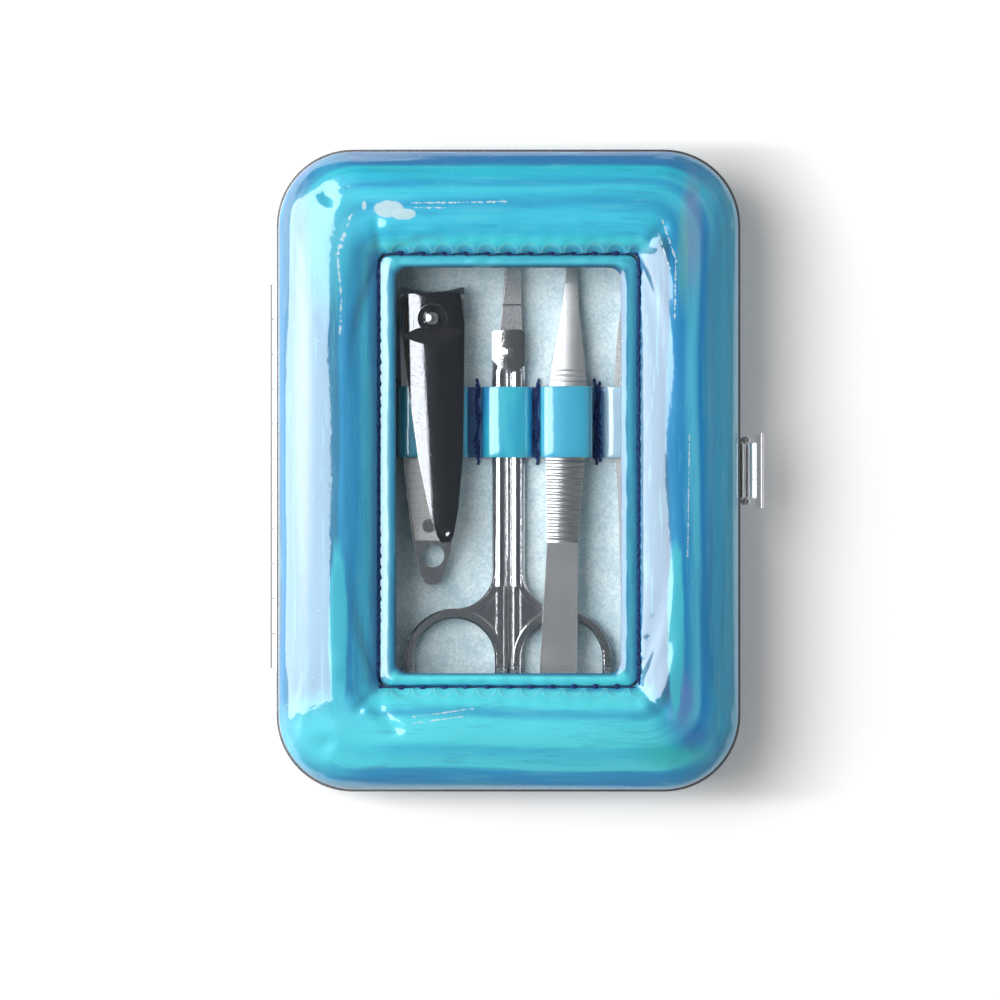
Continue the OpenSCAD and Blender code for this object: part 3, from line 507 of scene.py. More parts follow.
def from_line(x, y, start, end):
    """Distance of a point in plan from a line between two points."""
    a = Vector(start)
    along = Vector(end) - a
    u = min(1, max(0, (Vector((x, y)) - a).dot(along) / along.length_squared))
    return (Vector((x, y)) - a - along * u).length


def draw_of_stitches(x, y, share):
    """How far the needle holes draw the foil in, in millimetres."""
    away = (1 - share) * (FRAME_EDGE[0] - STITCH_EDGE[0])
    on_side = abs(x) / STITCH_EDGE[0] > abs(y) / STITCH_EDGE[1]
    depth = PUCKER_SIDE if on_side else PUCKER_END
    if y < 0:
        depth *= 0.6
    return depth * stitch_phase(x, y) * math.exp(-(away / PUCKER_REACH) ** 2)


def shape_foil(piece):
    """Moves the foil along its normals by its stitches, folds and waves."""
    moves = []
    for vert in piece.data.vertices:
        x, y, z = vert.co / MM
        share = share_at(x, y)
        if z < LID_LEVEL + 2.4 and share > 0.03:
            continue
        depth = draw_of_stitches(x, y, share)
        for start, end, width, most in FOLDS:
            depth += most * math.exp(-(from_line(x, y, start, end) / width) ** 2)
        free = step(0.02, 0.12, share) * (1 - step(0.9, 1.0, share))
        place = vert.co / MM
        depth -= free * WAVE * noise.noise(place / 13)
        depth -= free * RIPPLE * noise.noise(place / 4)
        moves.append((vert, vert.normal * -depth * MM))
    for vert, move in moves:
        vert.co += move
    piece.data.update()


shape_foil(lid_skin)
add_modifier(lid_skin, "SUBSURF", levels=1, render_levels=1)
print("lid skin:", len(lid_skin.data.polygons), "faces")

# %% [markdown]
# The colour bands of the foil follow the padding round the case, so the skin carries its own
# guide values: how far across the padding a point lies, which way it faces in plan, and a place
# in which long streaks run round the case. Materials read them as attributes, so the bands bend
# with the mesh.

# %% Guide values on the skin
STREAK_TURNS = 3


def outward_at(x, y, share):
    """The direction in plan that faces away from the window."""
    half_x, half_y, radius = between(share)
    dx = abs(x) - half_x + radius
    dy = abs(y) - half_y + radius
    if dx > 0 and dy > 0:
        away = Vector((math.copysign(dx, x), math.copysign(dy, y), 0))
    elif dx > dy:
        away = Vector((math.copysign(1, x), 0, 0))
    else:
        away = Vector((0, math.copysign(1, y), 0))
    return away.normalized()


def guide_values(piece):
    """Gives a skin its attributes across, facing and flow."""
    piece.data.attributes.new("across", "FLOAT", "POINT")
    piece.data.attributes.new("facing", "FLOAT_VECTOR", "POINT")
    piece.data.attributes.new("flow", "FLOAT_VECTOR", "POINT")
    across = piece.data.attributes["across"].data
    facing = piece.data.attributes["facing"].data
    flow = piece.data.attributes["flow"].data
    width = FRAME_EDGE[0] - STITCH_EDGE[0]
    for i, vert in enumerate(piece.data.vertices):
        x, y, _ = vert.co / MM
        share = share_at(x, y)
        turn = math.atan2(y / FRAME_EDGE[1], x / FRAME_EDGE[0])
        across[i].value = share
        facing[i].vector = outward_at(x, y, share)
        flow[i].vector = (share * width, STREAK_TURNS * math.cos(turn), STREAK_TURNS * math.sin(turn))


guide_values(lid_skin)
print("guide values:", [a.name for a in lid_skin.data.attributes if a.name in ("across", "facing", "flow")])

# %% [markdown]
# Round the window the foil is turned under and sewn, which leaves a narrow rounded welt between
# the stitches and the clear film. It is bridged like the padding, domed, and closed below.

# %% Welt round the window
WELT_OUTSIDE = (22.82, 37.97, 1.95)
WELT_INSIDE = (19.72, 35.67, 2.1)
WELT_BASE = 18.48
WELT_DOME = 0.38
WELT_RISE = 0.58
WELT_CREST = 1.3


def share_of_welt(x, y):
    """0 at the welt's outer edge and 1 at the window."""
    low = 0
    high = 1
    for _ in range(16):
        u = (low + high) / 2
        shape = tuple(a + (b - a) * u for a, b in zip(WELT_OUTSIDE, WELT_INSIDE))
        if outside_of(x, y, shape) < 0:
            low = u
        else:
            high = u
    return u


welt = bridged("window_welt", [(WELT_OUTSIDE, WELT_BASE), (WELT_OUTSIDE, WELT_BASE + WELT_RISE),
                               (WELT_INSIDE, WELT_BASE + 0.48), (WELT_INSIDE, WELT_BASE + 0.03)],
               closed=True, cuts={1: 9})
for vert in welt.data.vertices:
    x, y, z = vert.co / MM
    u = share_of_welt(x, y)
    if z > WELT_BASE + 0.2:
        dome = WELT_DOME * math.sin(math.pi * min(1, u ** WELT_CREST)) ** 0.75
        dome *= 1 + 0.3 * noise.noise(Vector((x, y, 5)) / 2.6)
        dome -= 0.12 * (1 - u) * max(0, stitch_phase(x, y))
        vert.co.z += dome * MM
welt.data.update()
add_modifier(welt, "SUBSURF", levels=1, render_levels=1)
print("welt:", len(welt.data.polygons), "faces")

# %% [markdown]
# One stitch is a short thread that rises from a needle hole and dives into the next. It is
# modelled once, with a knot where it dives, and copied round the window, each copy with its own
# mesh. Along the sides the stitches are closer, and at the right the thread fills the seam.

# %% Stitches round the window
THREAD_R = 0.13
SEAM_LEVEL = LID_LEVEL + 3.46


def one_stitch(length, radius, knot):
    """A thread along X that dips at both ends, with a knot at its right end."""
    deselect()
    bpy.ops.mesh.primitive_cylinder_add(vertices=8, radius=radius * MM, depth=length * MM,
                                        rotation=(0, math.pi / 2, 0))
    thread = bpy.context.object
    bpy.ops.object.transform_apply(rotation=True)
    edit(thread)
    choose("EDGE", lambda m: abs(m.x) < 0.01)
    bpy.ops.mesh.subdivide(number_cuts=7)
    deselect()
    for vert in thread.data.vertices:
        u = vert.co.x / MM / length * 2
        vert.co.z += (0.10 - 0.26 * u ** 4) * MM
        vert.co.y += 0.04 * math.sin(u * 5) * MM
    bpy.ops.mesh.primitive_uv_sphere_add(segments=10, ring_count=6, radius=knot * MM,
                                         location=(length / 2 * MM, 0, 0))
    bead = bpy.context.object
    edit(bead)
    bpy.ops.mesh.select_all(action="SELECT")
    bpy.ops.transform.resize(value=(1.1, 0.85, 0.45), center_override=(length / 2 * MM, 0, 0))
    deselect()
    thread.select_set(True)
    bead.select_set(True)
    bpy.context.view_layer.objects.active = thread
    bpy.ops.object.join()
    return thread


def copy_to(pattern, x, y, z, turn):
    """A copy of a pattern piece with its own mesh, turned about Z and set down at a place."""
    twin = pattern.copy()
    twin.data = pattern.data.copy()
    bpy.context.collection.objects.link(twin)
    twin.rotation_euler = (0, 0, turn)
    twin.location = (x * MM, y * MM, z * MM)
    return twin


def sewn(name, pattern, places):
    """Copies a stitch to all its places and joins the copies into one piece."""
    twins = [copy_to(pattern, *place) for place in places]
    deselect()
    for twin in twins:
        twin.select_set(True)
    bpy.context.view_layer.objects.active = twins[0]
    bpy.ops.object.join()
    piece = bpy.context.object
    bpy.data.objects.remove(pattern)
    return close_edit(piece, name)


def line_of(count, pitch):
    """Middles of evenly spaced stitches on a line."""
    return [(i - (count - 1) / 2) * pitch for i in range(count)]


def lean(i):
    """A small turn that differs from stitch to stitch."""
    return 0.07 * math.sin(12.9 * i)


end_places = []
left_places = []
right_places = []
half_x, half_y, _ = STITCH_EDGE
for i, x in enumerate(line_of(12, STITCH_PITCH)):
    end_places.append((x, half_y + 0.05, SEAM_LEVEL, 0.10 + lean(i)))
    end_places.append((x, -half_y - 0.05, SEAM_LEVEL, math.pi + lean(i + 20)))
for i, y in enumerate(line_of(40, STITCH_PITCH / 2)):
    left_places.append((-half_x, y, SEAM_LEVEL - 0.1, -math.pi / 2 + 2 * lean(i + 70)))
    right_places.append((half_x + 0.05, y, SEAM_LEVEL, math.pi / 2 + 3 * lean(i + 40)))
end_thread = sewn("end_thread", one_stitch(STITCH_PITCH - 0.2, THREAD_R, 0.60), end_places)
left_thread = sewn("left_thread", one_stitch(STITCH_PITCH / 2 - 0.2, 0.12, 0.42), left_places)
right_thread = sewn("right_thread", one_stitch(STITCH_PITCH / 2, 0.24, 0.40), right_places)
print("stitches:", len(end_places) + len(left_places) + len(right_places))

# %% [markdown]
# The band that holds the tools is one strip of the same foil, sewn flat to the felt between the
# tools and arched over each. It starts as a single cross edge and is extruded along its path,
# so it is one continuous strip, and is then given its thickness.

# %% Band over the tools
FELT_LEVEL = 6.0
BAND_Y = (2.375, 15.025)
BAND_X = (-21.7, 29.4)
BAND_T = 0.44
ARCHES = [(-19.4, -7.6, 11.52, 8, 0.0), (-4.35, 3.95, 9.3, 3.4, 0.2), (6.1, 14.6, 11.78, 8, 0.45),
          (17.7, 27.0, 7.7, 5, 0.0)]
ARCH_STEPS = 28


def band_path():
    """Points of the strip's middle line in X and Z: each arch has its shape and its crown."""
    level = FELT_LEVEL + BAND_T / 2 + 0.02
    points = [(BAND_X[0], level)]
    for left, right, top, shape, crown in ARCHES:
        middle = (left + right) / 2
        half = (right - left + BAND_T) / 2
        rise = top + BAND_T / 2 + 0.02 - level
        for i in range(ARCH_STEPS + 1):
            turn = math.pi * i / ARCH_STEPS
            x = -math.copysign(abs(math.cos(turn)) ** (2 / shape), math.cos(turn))
            z = rise * abs(math.sin(turn)) ** (2 / shape) + crown * (1 - x * x)
            points.append((middle + half * x, level + z))
    points.append((BAND_X[1], level))
    return points


def strip_along(name, points, low_y, high_y):
    """One cross edge extruded from point to point."""
    deselect()
    bpy.ops.mesh.primitive_plane_add(size=MM, location=(points[0][0] * MM, 0, points[0][1] * MM))
    piece = bpy.context.object
    bpy.ops.object.transform_apply(location=True)
    edit(piece)
    bpy.ops.mesh.select_all(action="SELECT")
    bpy.ops.mesh.delete(type="ONLY_FACE")
    choose("VERT", lambda m: m.x > points[0][0])
    bpy.ops.mesh.delete(type="VERT")
    bpy.ops.mesh.select_all(action="SELECT")
    bpy.ops.transform.translate(value=(0.5 * MM, 0, 0))
    bpy.ops.transform.resize(value=(1, high_y - low_y, 1), center_override=(0, 0, 0))
    bpy.ops.transform.translate(value=(0, (low_y + high_y) / 2 * MM, 0))
    bpy.ops.mesh.select_mode(type="EDGE")
    bpy.ops.mesh.select_all(action="SELECT")
    for here, there in zip(points, points[1:]):
        move = ((there[0] - here[0]) * MM, 0, (there[1] - here[1]) * MM)
        bpy.ops.mesh.extrude_region_move(TRANSFORM_OT_translate={"value": move})
    return close_edit(piece, name)


band_points = band_path()
band = strip_along("band_strip", band_points, *BAND_Y)
edit(band)
choose("EDGE", lambda m: abs(m.y - sum(BAND_Y) / 2) < 0.01)
bpy.ops.mesh.subdivide(number_cuts=7)
bpy.ops.mesh.select_all(action="SELECT")
bpy.ops.mesh.normals_make_consistent(inside=False)
deselect()
for vert in band.data.vertices:
    x, y, z = vert.co / MM
    lift = step(FELT_LEVEL + 0.4, FELT_LEVEL + 1.5, z)
    vert.co.z += lift * 0.07 * noise.noise(Vector((x, y, 0)) / 3) * MM
add_modifier(band, "SOLIDIFY", thickness=BAND_T * MM, offset=0)
add_modifier(band, "BEVEL", width=0.1 * MM, segments=2, limit_method="ANGLE")
deselect()
band.select_set(True)
bpy.ops.object.shade_smooth_by_angle(angle=math.radians(50))

# %% [markdown]
# Dark thread sews the band down between the loops. The rows run a little past the band's edges,
# and the row beside the nail file was sewn over more than once and is fuzzy.

# %% Seams of the band
SEAMS = [-20.6, -5.6, 5.05, 15.7, 28.3]
SEAM_PITCH = 2.0
SEAM_Z = FELT_LEVEL + BAND_T + 0.2


def seam_places():
    """Places of the stitches of all seams, and of the loose ends beside the worn one."""
    places = []
    middle = sum(BAND_Y) / 2
    for k, x in enumerate(SEAMS):
        for i, y in enumerate(line_of(14, SEAM_PITCH / 2)):
            off = 0.24 * math.sin(7.3 * i + k)
            places.append((x + off, middle + y, SEAM_Z, math.pi / 2 + 4.0 * lean(i + 9 * k)))
    for i, y in enumerate(line_of(9, 1.5)):
        off = 0.5 + 0.28 * math.sin(3.1 * i)
        places.append((SEAMS[3] + off, middle + y, SEAM_Z + 0.05, math.pi / 2 + 6 * lean(i + 3)))
    return places


band_thread = sewn("band_thread", one_stitch(SEAM_PITCH + 0.25, 0.26, 0.30), seam_places())
print("band stitches:", len(seam_places()))

# %% [markdown]
# Felt lines both halves. In the tray it was laid in wet and pressed to the board's shape, with a
# floor, low walls and a rim. In the lid it is a flat ring round the window. Both are bridged as
# single sheets and then given the thickness of the felt.

# %% Felt linings
FELT_T = 0.55
TRAY_RIM = (39.75, 55.5, 12.25)
TRAY_BEND = (37.75, 53.5, 10.25)
TRAY_WALL = (37.55, 53.3, 10.05)
TRAY_FLOOR = (37.1, 52.85, 9.6)
RIM_LEVEL = 9.52
LID_FELT_EDGE = (38.45, 54.2, 10.95)
LID_FELT_HOLE = (20.0, 35.95, 0.8)
LID_FELT_LEVEL = 15.69


def smooth_again(piece, angle=50):
    """Smooth shading with crisp corners, set again after the modifiers."""
    deselect()
    piece.select_set(True)
    bpy.context.view_layer.objects.active = piece
    bpy.ops.object.shade_smooth_by_angle(angle=math.radians(angle))


tray_felt = bridged("tray_felt", [(TRAY_RIM, RIM_LEVEL - 0.03), (TRAY_BEND, RIM_LEVEL),
                                  (TRAY_WALL, RIM_LEVEL - 0.25), (TRAY_WALL, FELT_LEVEL + 0.2),
                                  (TRAY_FLOOR, FELT_LEVEL - FELT_T / 2)], cuts={2: 3})
edit(tray_felt)
choose_loops((TRAY_FLOOR, FELT_LEVEL - FELT_T / 2))
bpy.ops.mesh.edge_face_add()
bpy.ops.mesh.select_all(action="SELECT")
bpy.ops.mesh.normals_make_consistent(inside=False)
deselect()
add_modifier(tray_felt, "SOLIDIFY", thickness=FELT_T * MM, offset=0)
smooth_again(tray_felt)

lid_felt = bridged("lid_felt", [(LID_FELT_EDGE, LID_FELT_LEVEL), (LID_FELT_HOLE, LID_FELT_LEVEL + 0.02)])
add_modifier(lid_felt, "SOLIDIFY", thickness=(FELT_T - 0.03) * MM, offset=0)
smooth_again(lid_felt)
print("felts:", len(tray_felt.data.polygons) + len(lid_felt.data.polygons), "faces")

# %% [markdown]
# The back is padded like the lid but lower, and lies flat where it rests on the table. Its foil
# turns up under the frame's edge and the wadding fills it, so it is one closed padded form.

# %% Padded back
BACK_SECTION = [(0.035, 7.95), (0.022, 6.81), (0.018, 5.28), (0.03, 3.5), (0.075, 1.71), (0.16, 0.35),
                (0.25, 0.0), (0.6, 0.03), (0.95, 0.06)]
BACK_INSIDE = [(0.95, 4.64), (0.11, 4.60), (0.10, 7.9)]
BACK_CUTS = {0: 2, 1: 2, 2: 4, 3: 5, 4: 5, 5: 3}


def side_curve(z):
    """Share of the back's side at a height, between the rows that are drawn."""
    rows = sorted((h, s) for s, h in BACK_SECTION[:7])
    return height_on(rows, z)


back_loops = [(between(share), z) for share, z in BACK_SECTION + BACK_INSIDE]
back_skin = bridged("back_skin", back_loops, closed=True, cuts=BACK_CUTS)
edit(back_skin)
middle_z = (BACK_SECTION[-1][1] + BACK_INSIDE[0][1]) / 2
choose("FACE", lambda m: outside_of(m.x, m.y, between(0.94)) < 0 and abs(m.z - middle_z) < 1.5)
bpy.ops.mesh.delete(type="ONLY_FACE")
for share, z in (BACK_SECTION[-1], BACK_INSIDE[0]):
    choose_loops((between(share), z))
    bpy.ops.mesh.edge_face_add()
face_outwards()
deselect()
for vert in back_skin.data.vertices:
    x, y, z = vert.co / MM
    outer = share_at(x, y) < 0.09 or z < 0.6
    if outer and 0.02 < z < 7.9:
        share = side_curve(z) + 0.004 * noise.noise(Vector((x, y, z)) / 11) * step(0, 1, z)
        half_x, half_y, radius = between(share)
        old_x, old_y, old_r = between(share_at(x, y))
        vert.co.x += math.copysign(half_x - old_x, x) * MM if abs(x) > old_x - old_r else 0
        vert.co.y += math.copysign(half_y - old_y, y) * MM if abs(y) > old_y - old_r else 0
back_skin.data.update()
smooth_again(back_skin, 60)
guide_values(back_skin)
print("back skin:", len(back_skin.data.polygons), "faces")

# %% [markdown]
# Every finish is built from nodes on object coordinates or on the guide values, so nothing is
# stretched and no picture is needed. These helpers add a node, link it, and do sums with
# sockets, so that the materials below read as short recipes.

# %% Tools for finishes


def tint(red, green, blue):
    """A colour as it looks on screen, from 0 to 255, in the shader's own numbers."""
    shares = [value / 255 for value in (red, green, blue)]
    return (*[s / 12.92 if s < 0.04045 else ((s + 0.055) / 1.055) ** 2.4 for s in shares], 1)


def put(tree, kind, values=None, **settings):
    """Adds a node with its settings, and the values of its inputs."""
    node = tree.nodes.new("ShaderNode" + kind)
    for key, value in settings.items():
        setattr(node, key, value)
    for key, value in (values or {}).items():
        node.inputs[key].default_value = value
    return node


def plug(tree, source, socket):
    """Links a socket, or sets a number or colour."""
    if isinstance(source, bpy.types.NodeSocket):
        tree.links.new(source, socket)
    else:
        socket.default_value = source


def sums(tree, operation, *terms, clamp=False):
    """The result of a Math node on sockets or numbers."""
    node = put(tree, "Math", operation=operation, use_clamp=clamp)
    for term, socket in zip(terms, node.inputs):
        plug(tree, term, socket)
    return node.outputs[0]


def blend_colors(tree, share, first, second, mode="MIX"):
    """The colour between two colours at a share."""
    node = put(tree, "Mix", data_type="RGBA", blend_type=mode)
    plug(tree, share, node.inputs[0])
    plug(tree, first, node.inputs[6])
    plug(tree, second, node.inputs[7])
    return node.outputs[2]


def spread(tree, value, low, high, to_low=0.0, to_high=1.0):
    """A value mapped smoothly from one range to another."""
    node = put(tree, "MapRange", {"From Min": low, "From Max": high, "To Min": to_low, "To Max": to_high},
               interpolation_type="SMOOTHSTEP")
    plug(tree, value, node.inputs["Value"])
    return node.outputs[0]


def grain(tree, scale, detail=2.0, stretch=(1, 1, 1), roughness=0.5):
    """Noise over the piece in object coordinates, its scale in cells per metre."""
    place = put(tree, "TexCoord")
    shape = put(tree, "Mapping", {"Scale": stretch})
    texture = put(tree, "TexNoise", {"Scale": scale, "Detail": detail, "Roughness": roughness})
    plug(tree, place.outputs["Object"], shape.inputs["Vector"])
    plug(tree, shape.outputs[0], texture.inputs["Vector"])
    return texture.outputs["Fac"]


def place_parts(tree):
    """A node whose outputs X, Y and Z are a place in object coordinates, in metres."""
    place = put(tree, "TexCoord")
    parts = put(tree, "SeparateXYZ")
    plug(tree, place.outputs["Object"], parts.inputs[0])
    return parts


def distance_from(tree, x, y, reach_x, reach_y):
    """Distance in plan from a point in millimetres, in units of a reach along X and one along Y."""
    place = put(tree, "TexCoord")
    shift = put(tree, "VectorMath", {1: (x * MM, y * MM, 0)}, operation="SUBTRACT")
    size = put(tree, "VectorMath", {1: (1 / reach_x / MM, 1 / reach_y / MM, 0)}, operation="MULTIPLY")
    far = put(tree, "VectorMath", operation="LENGTH")
    plug(tree, place.outputs["Object"], shift.inputs[0])
    plug(tree, shift.outputs[0], size.inputs[0])
    plug(tree, size.outputs[0], far.inputs[0])
    return far.outputs["Value"]


def new_group(name, inputs, outputs):
    """An empty node group with number inputs and its outputs, and its two end nodes."""
    tree = bpy.data.node_groups.new(name, "ShaderNodeTree")
    for key, value in inputs.items():
        socket = tree.interface.new_socket(key, in_out="INPUT", socket_type="NodeSocketFloat")
        socket.default_value = value
    for key, kind in outputs.items():
        tree.interface.new_socket(key, in_out="OUTPUT", socket_type="NodeSocket" + kind)
    return tree, tree.nodes.new("NodeGroupInput"), tree.nodes.new("NodeGroupOutput")


def use_group(tree, group, **values):
    """Places a group in a material with its own values."""
    node = tree.nodes.new("ShaderNodeGroup")
    node.node_tree = group
    for key, value in values.items():
        node.inputs[key.replace("_", " ")].default_value = value
    return node


def new_finish(name, **constants):
    """A material and its shader, with constant numbers set on the shader's own sockets."""
    material = bpy.data.materials.new(name)
    material.use_nodes = True
    tree = material.node_tree
    shader = tree.nodes["Principled BSDF"]
    for key, value in constants.items():
        shader.inputs[key.replace("_", " ")].default_value = value
    return material, tree, shader


def bump(tree, shader, height, distance, strength=1.0, coat=False):
    """Feeds a height in millimetres through a Bump node to the shader."""
    node = put(tree, "Bump", {"Strength": strength, "Distance": distance * MM})
    plug(tree, height, node.inputs["Height"])
    plug(tree, node.outputs[0], shader.inputs["Normal"])
    if coat:
        plug(tree, node.outputs[0], shader.inputs["Coat Normal"])
    return node


print("white on screen is", [round(v, 2) for v in tint(255, 255, 255)])

# %% [markdown]
# Four effects are shared by many finishes: pin-prick pits, scratches, edges that are rougher
# from wear and painted paler as a highlight, and soft mottling. Each is a group of its own, and a
# finish only says how large and how strong it is.

# %% Shared effects


def pits_group():
    """Sparse small spots, 1 at a spot."""
    tree, start, end = new_group("pits", {"Scale": 2500, "Density": 0.2, "Size": 0.25}, {"Mask": "Float"})
    place = put(tree, "TexCoord")
    cells = put(tree, "TexVoronoi")
    plug(tree, place.outputs["Object"], cells.inputs["Vector"])
    plug(tree, start.outputs["Scale"], cells.inputs["Scale"])
    hue = put(tree, "SeparateColor")
    plug(tree, cells.outputs["Color"], hue.inputs[0])
    kept = sums(tree, "LESS_THAN", hue.outputs[0], start.outputs["Density"])
    close = sums(tree, "LESS_THAN", cells.outputs["Distance"], start.outputs["Size"])
    plug(tree, sums(tree, "MULTIPLY", kept, close), end.inputs["Mask"])
    return tree


def scratches_group():
    """Fine straight hair lines, as a height from 0 to 1; Stretch says how long they run along Y."""
    tree, start, end = new_group("scratches", {"Scale": 2200, "Stretch": 0.02}, {"Height": "Float"})
    place = put(tree, "TexCoord")
    squeeze = put(tree, "CombineXYZ", {"X": 1.0, "Z": 1.0})
    plug(tree, start.outputs["Stretch"], squeeze.inputs["Y"])
    shape = put(tree, "VectorMath", operation="MULTIPLY")
    plug(tree, place.outputs["Object"], shape.inputs[0])
    plug(tree, squeeze.outputs[0], shape.inputs[1])
    lines = put(tree, "TexNoise", {"Detail": 3.0, "Roughness": 0.7})
    plug(tree, shape.outputs[0], lines.inputs["Vector"])
    plug(tree, start.outputs["Scale"], lines.inputs["Scale"])
    plug(tree, lines.outputs["Fac"], end.inputs["Height"])
    return tree


def wear_and_highlight_group():
    """1 along outer and inner edges, where the rounded normal leaves the face's own."""
    tree, start, end = new_group("edge_wear_and_highlight", {"Radius": 0.00025}, {"Mask": "Float"})
    rounded = put(tree, "Bevel", samples=4)
    plug(tree, start.outputs["Radius"], rounded.inputs["Radius"])
    surface = put(tree, "NewGeometry")
    same = put(tree, "VectorMath", operation="DOT_PRODUCT")
    plug(tree, rounded.outputs[0], same.inputs[0])
    plug(tree, surface.outputs["Normal"], same.inputs[1])
    plug(tree, spread(tree, same.outputs["Value"], 0.97, 0.75), end.inputs["Mask"])
    return tree


def mottle_group():
    """Soft uneven patches, from 0 to 1, and a fine grain."""
    tree, start, end = new_group("mottle", {"Patch": 160, "Grain": 2600},
                                 {"Mask": "Float", "Fine": "Float"})
    place = put(tree, "TexCoord")
    for key, detail, socket in (("Patch", 3.0, "Mask"), ("Grain", 4.0, "Fine")):
        texture = put(tree, "TexNoise", {"Detail": detail, "Roughness": 0.65})
        plug(tree, place.outputs["Object"], texture.inputs["Vector"])
        plug(tree, start.outputs[key], texture.inputs["Scale"])
        plug(tree, texture.outputs["Fac"], end.inputs[socket])
    return tree


pits = pits_group()
scratches = scratches_group()
edge_wear_and_highlight = wear_and_highlight_group()
mottle = mottle_group()
print("shared effects:", pits.name, scratches.name, edge_wear_and_highlight.name, mottle.name)

# %% [markdown]
# The foil is a holographic film under clear lacquer. Its colour follows the slope of the
# padding, from deep blue at the frame through turquoise to cyan at the stitches, and each side
# of the case shows its own order; this is partly the film's own tint and partly painted light,
# the colour shift, reflection and shade that each slope and side shows under the soft box. A ramp
# for each side is read across the padding, and the way the skin faces says how much of each ramp a
# place gets, which blends them at the corners.

# %% Colour bands of the foil
TOP_BANDS = [(0.0, (70, 135, 175)), (0.04, (25, 118, 180)), (0.16, (30, 132, 192)), (0.21, (40, 206, 230)),
             (0.30, (52, 204, 236)), (0.35, (52, 182, 228)), (0.43, (72, 220, 246)), (0.55, (50, 182, 226)),
             (0.68, (68, 214, 246)), (0.82, (60, 204, 240)), (0.92, (76, 232, 250)), (1.0, (54, 176, 216))]
BOTTOM_BANDS = [(0.0, (100, 150, 175)), (0.05, (96, 166, 200)), (0.10, (46, 158, 216)),
                (0.20, (52, 170, 226)), (0.25, (94, 236, 252)), (0.42, (78, 214, 244)),
                (0.50, (98, 240, 253)), (0.68, (94, 236, 252)), (0.76, (64, 188, 224)),
                (0.85, (92, 238, 252)), (0.96, (92, 236, 252)), (1.0, (62, 182, 220))]
LEFT_BANDS = [(0.0, (70, 125, 155)), (0.05, (40, 140, 198)), (0.11, (52, 128, 166)),
              (0.35, (52, 128, 166)), (0.58, (54, 136, 176)), (0.63, (62, 168, 222)),
              (0.70, (56, 156, 210)), (0.76, (54, 160, 214)), (0.88, (72, 198, 236)),
              (0.93, (54, 166, 220)), (1.0, (46, 146, 204))]
RIGHT_BANDS = [(0.0, (72, 176, 216)), (0.10, (76, 194, 234)), (0.29, (66, 184, 230)),
               (0.34, (40, 158, 222)), (0.40, (38, 150, 218)), (0.45, (90, 206, 240)),
               (0.57, (36, 148, 210)), (0.69, (38, 154, 212)), (0.74, (50, 114, 152)),
               (0.97, (52, 118, 154)), (1.0, (45, 130, 180))]


def fill_ramp(ramp, bands):
    """Writes colour stops into a ramp."""
    elements = ramp.color_ramp.elements
    while len(elements) < len(bands):
        elements.new(0.5)
    for element, (place, colour) in zip(elements, bands):
        element.position = place
        element.color = tint(*colour)
    ramp.color_ramp.interpolation = "EASE"


def long_noise(tree, scale, detail=2.0, roughness=0.5):
    """Noise drawn out along the padding, its scale in cells per millimetre across."""
    flow = put(tree, "Attribute", attribute_name="flow")
    texture = put(tree, "TexNoise", {"Scale": scale, "Detail": detail, "Roughness": roughness})
    plug(tree, flow.outputs["Vector"], texture.inputs["Vector"])
    return texture.outputs["Fac"]


def bands_group(name, bands_by_side):
    """Colour from the guide values, with a ramp for each side; Waver bends the bands."""
    tree, start, end = new_group(name, {"Waver": 0.05, "Streaks": 0.22}, {"Color": "Color"})
    across = put(tree, "Attribute", attribute_name="across")
    facing = put(tree, "Attribute", attribute_name="facing")
    parts = put(tree, "SeparateXYZ")
    plug(tree, facing.outputs["Vector"], parts.inputs[0])
    drift = sums(tree, "SUBTRACT", grain(tree, 24, 1.0), 0.5)
    drift = sums(tree, "MULTIPLY_ADD", sums(tree, "SUBTRACT", long_noise(tree, 0.45), 0.5), 0.5, drift)
    bent = sums(tree, "MULTIPLY_ADD", drift, start.outputs["Waver"], across.outputs["Fac"])
    total = None
    for bands, axis, sign in bands_by_side:
        ramp = put(tree, "ValToRGB")
        fill_ramp(ramp, bands)
        plug(tree, bent, ramp.inputs[0])
        toward = sums(tree, "MAXIMUM", sums(tree, "MULTIPLY", parts.outputs[axis], sign), 0)
        weight = sums(tree, "MULTIPLY", toward, toward)
        if total is None:
            total = ramp.outputs[0]
        else:
            total = blend_colors(tree, weight, total, ramp.outputs[0])
    lines = long_noise(tree, 1.1, 4.0, 0.65)
    pale = sums(tree, "MULTIPLY", spread(tree, lines, 0.54, 0.68), start.outputs["Streaks"])
    deep = sums(tree, "MULTIPLY", spread(tree, lines, 0.47, 0.34), start.outputs["Streaks"])
    total = blend_colors(tree, pale, total, tint(128, 228, 242))
    total = blend_colors(tree, deep, total, tint(28, 116, 178))
    plug(tree, total, end.inputs["Color"])
    return tree


pad_bands = bands_group("pad_bands", [(TOP_BANDS, "Y", 1), (BOTTOM_BANDS, "Y", -1), (LEFT_BANDS, "X", -1),
                                      (RIGHT_BANDS, "X", 1)])
print("bands on", len(pad_bands.nodes), "nodes")
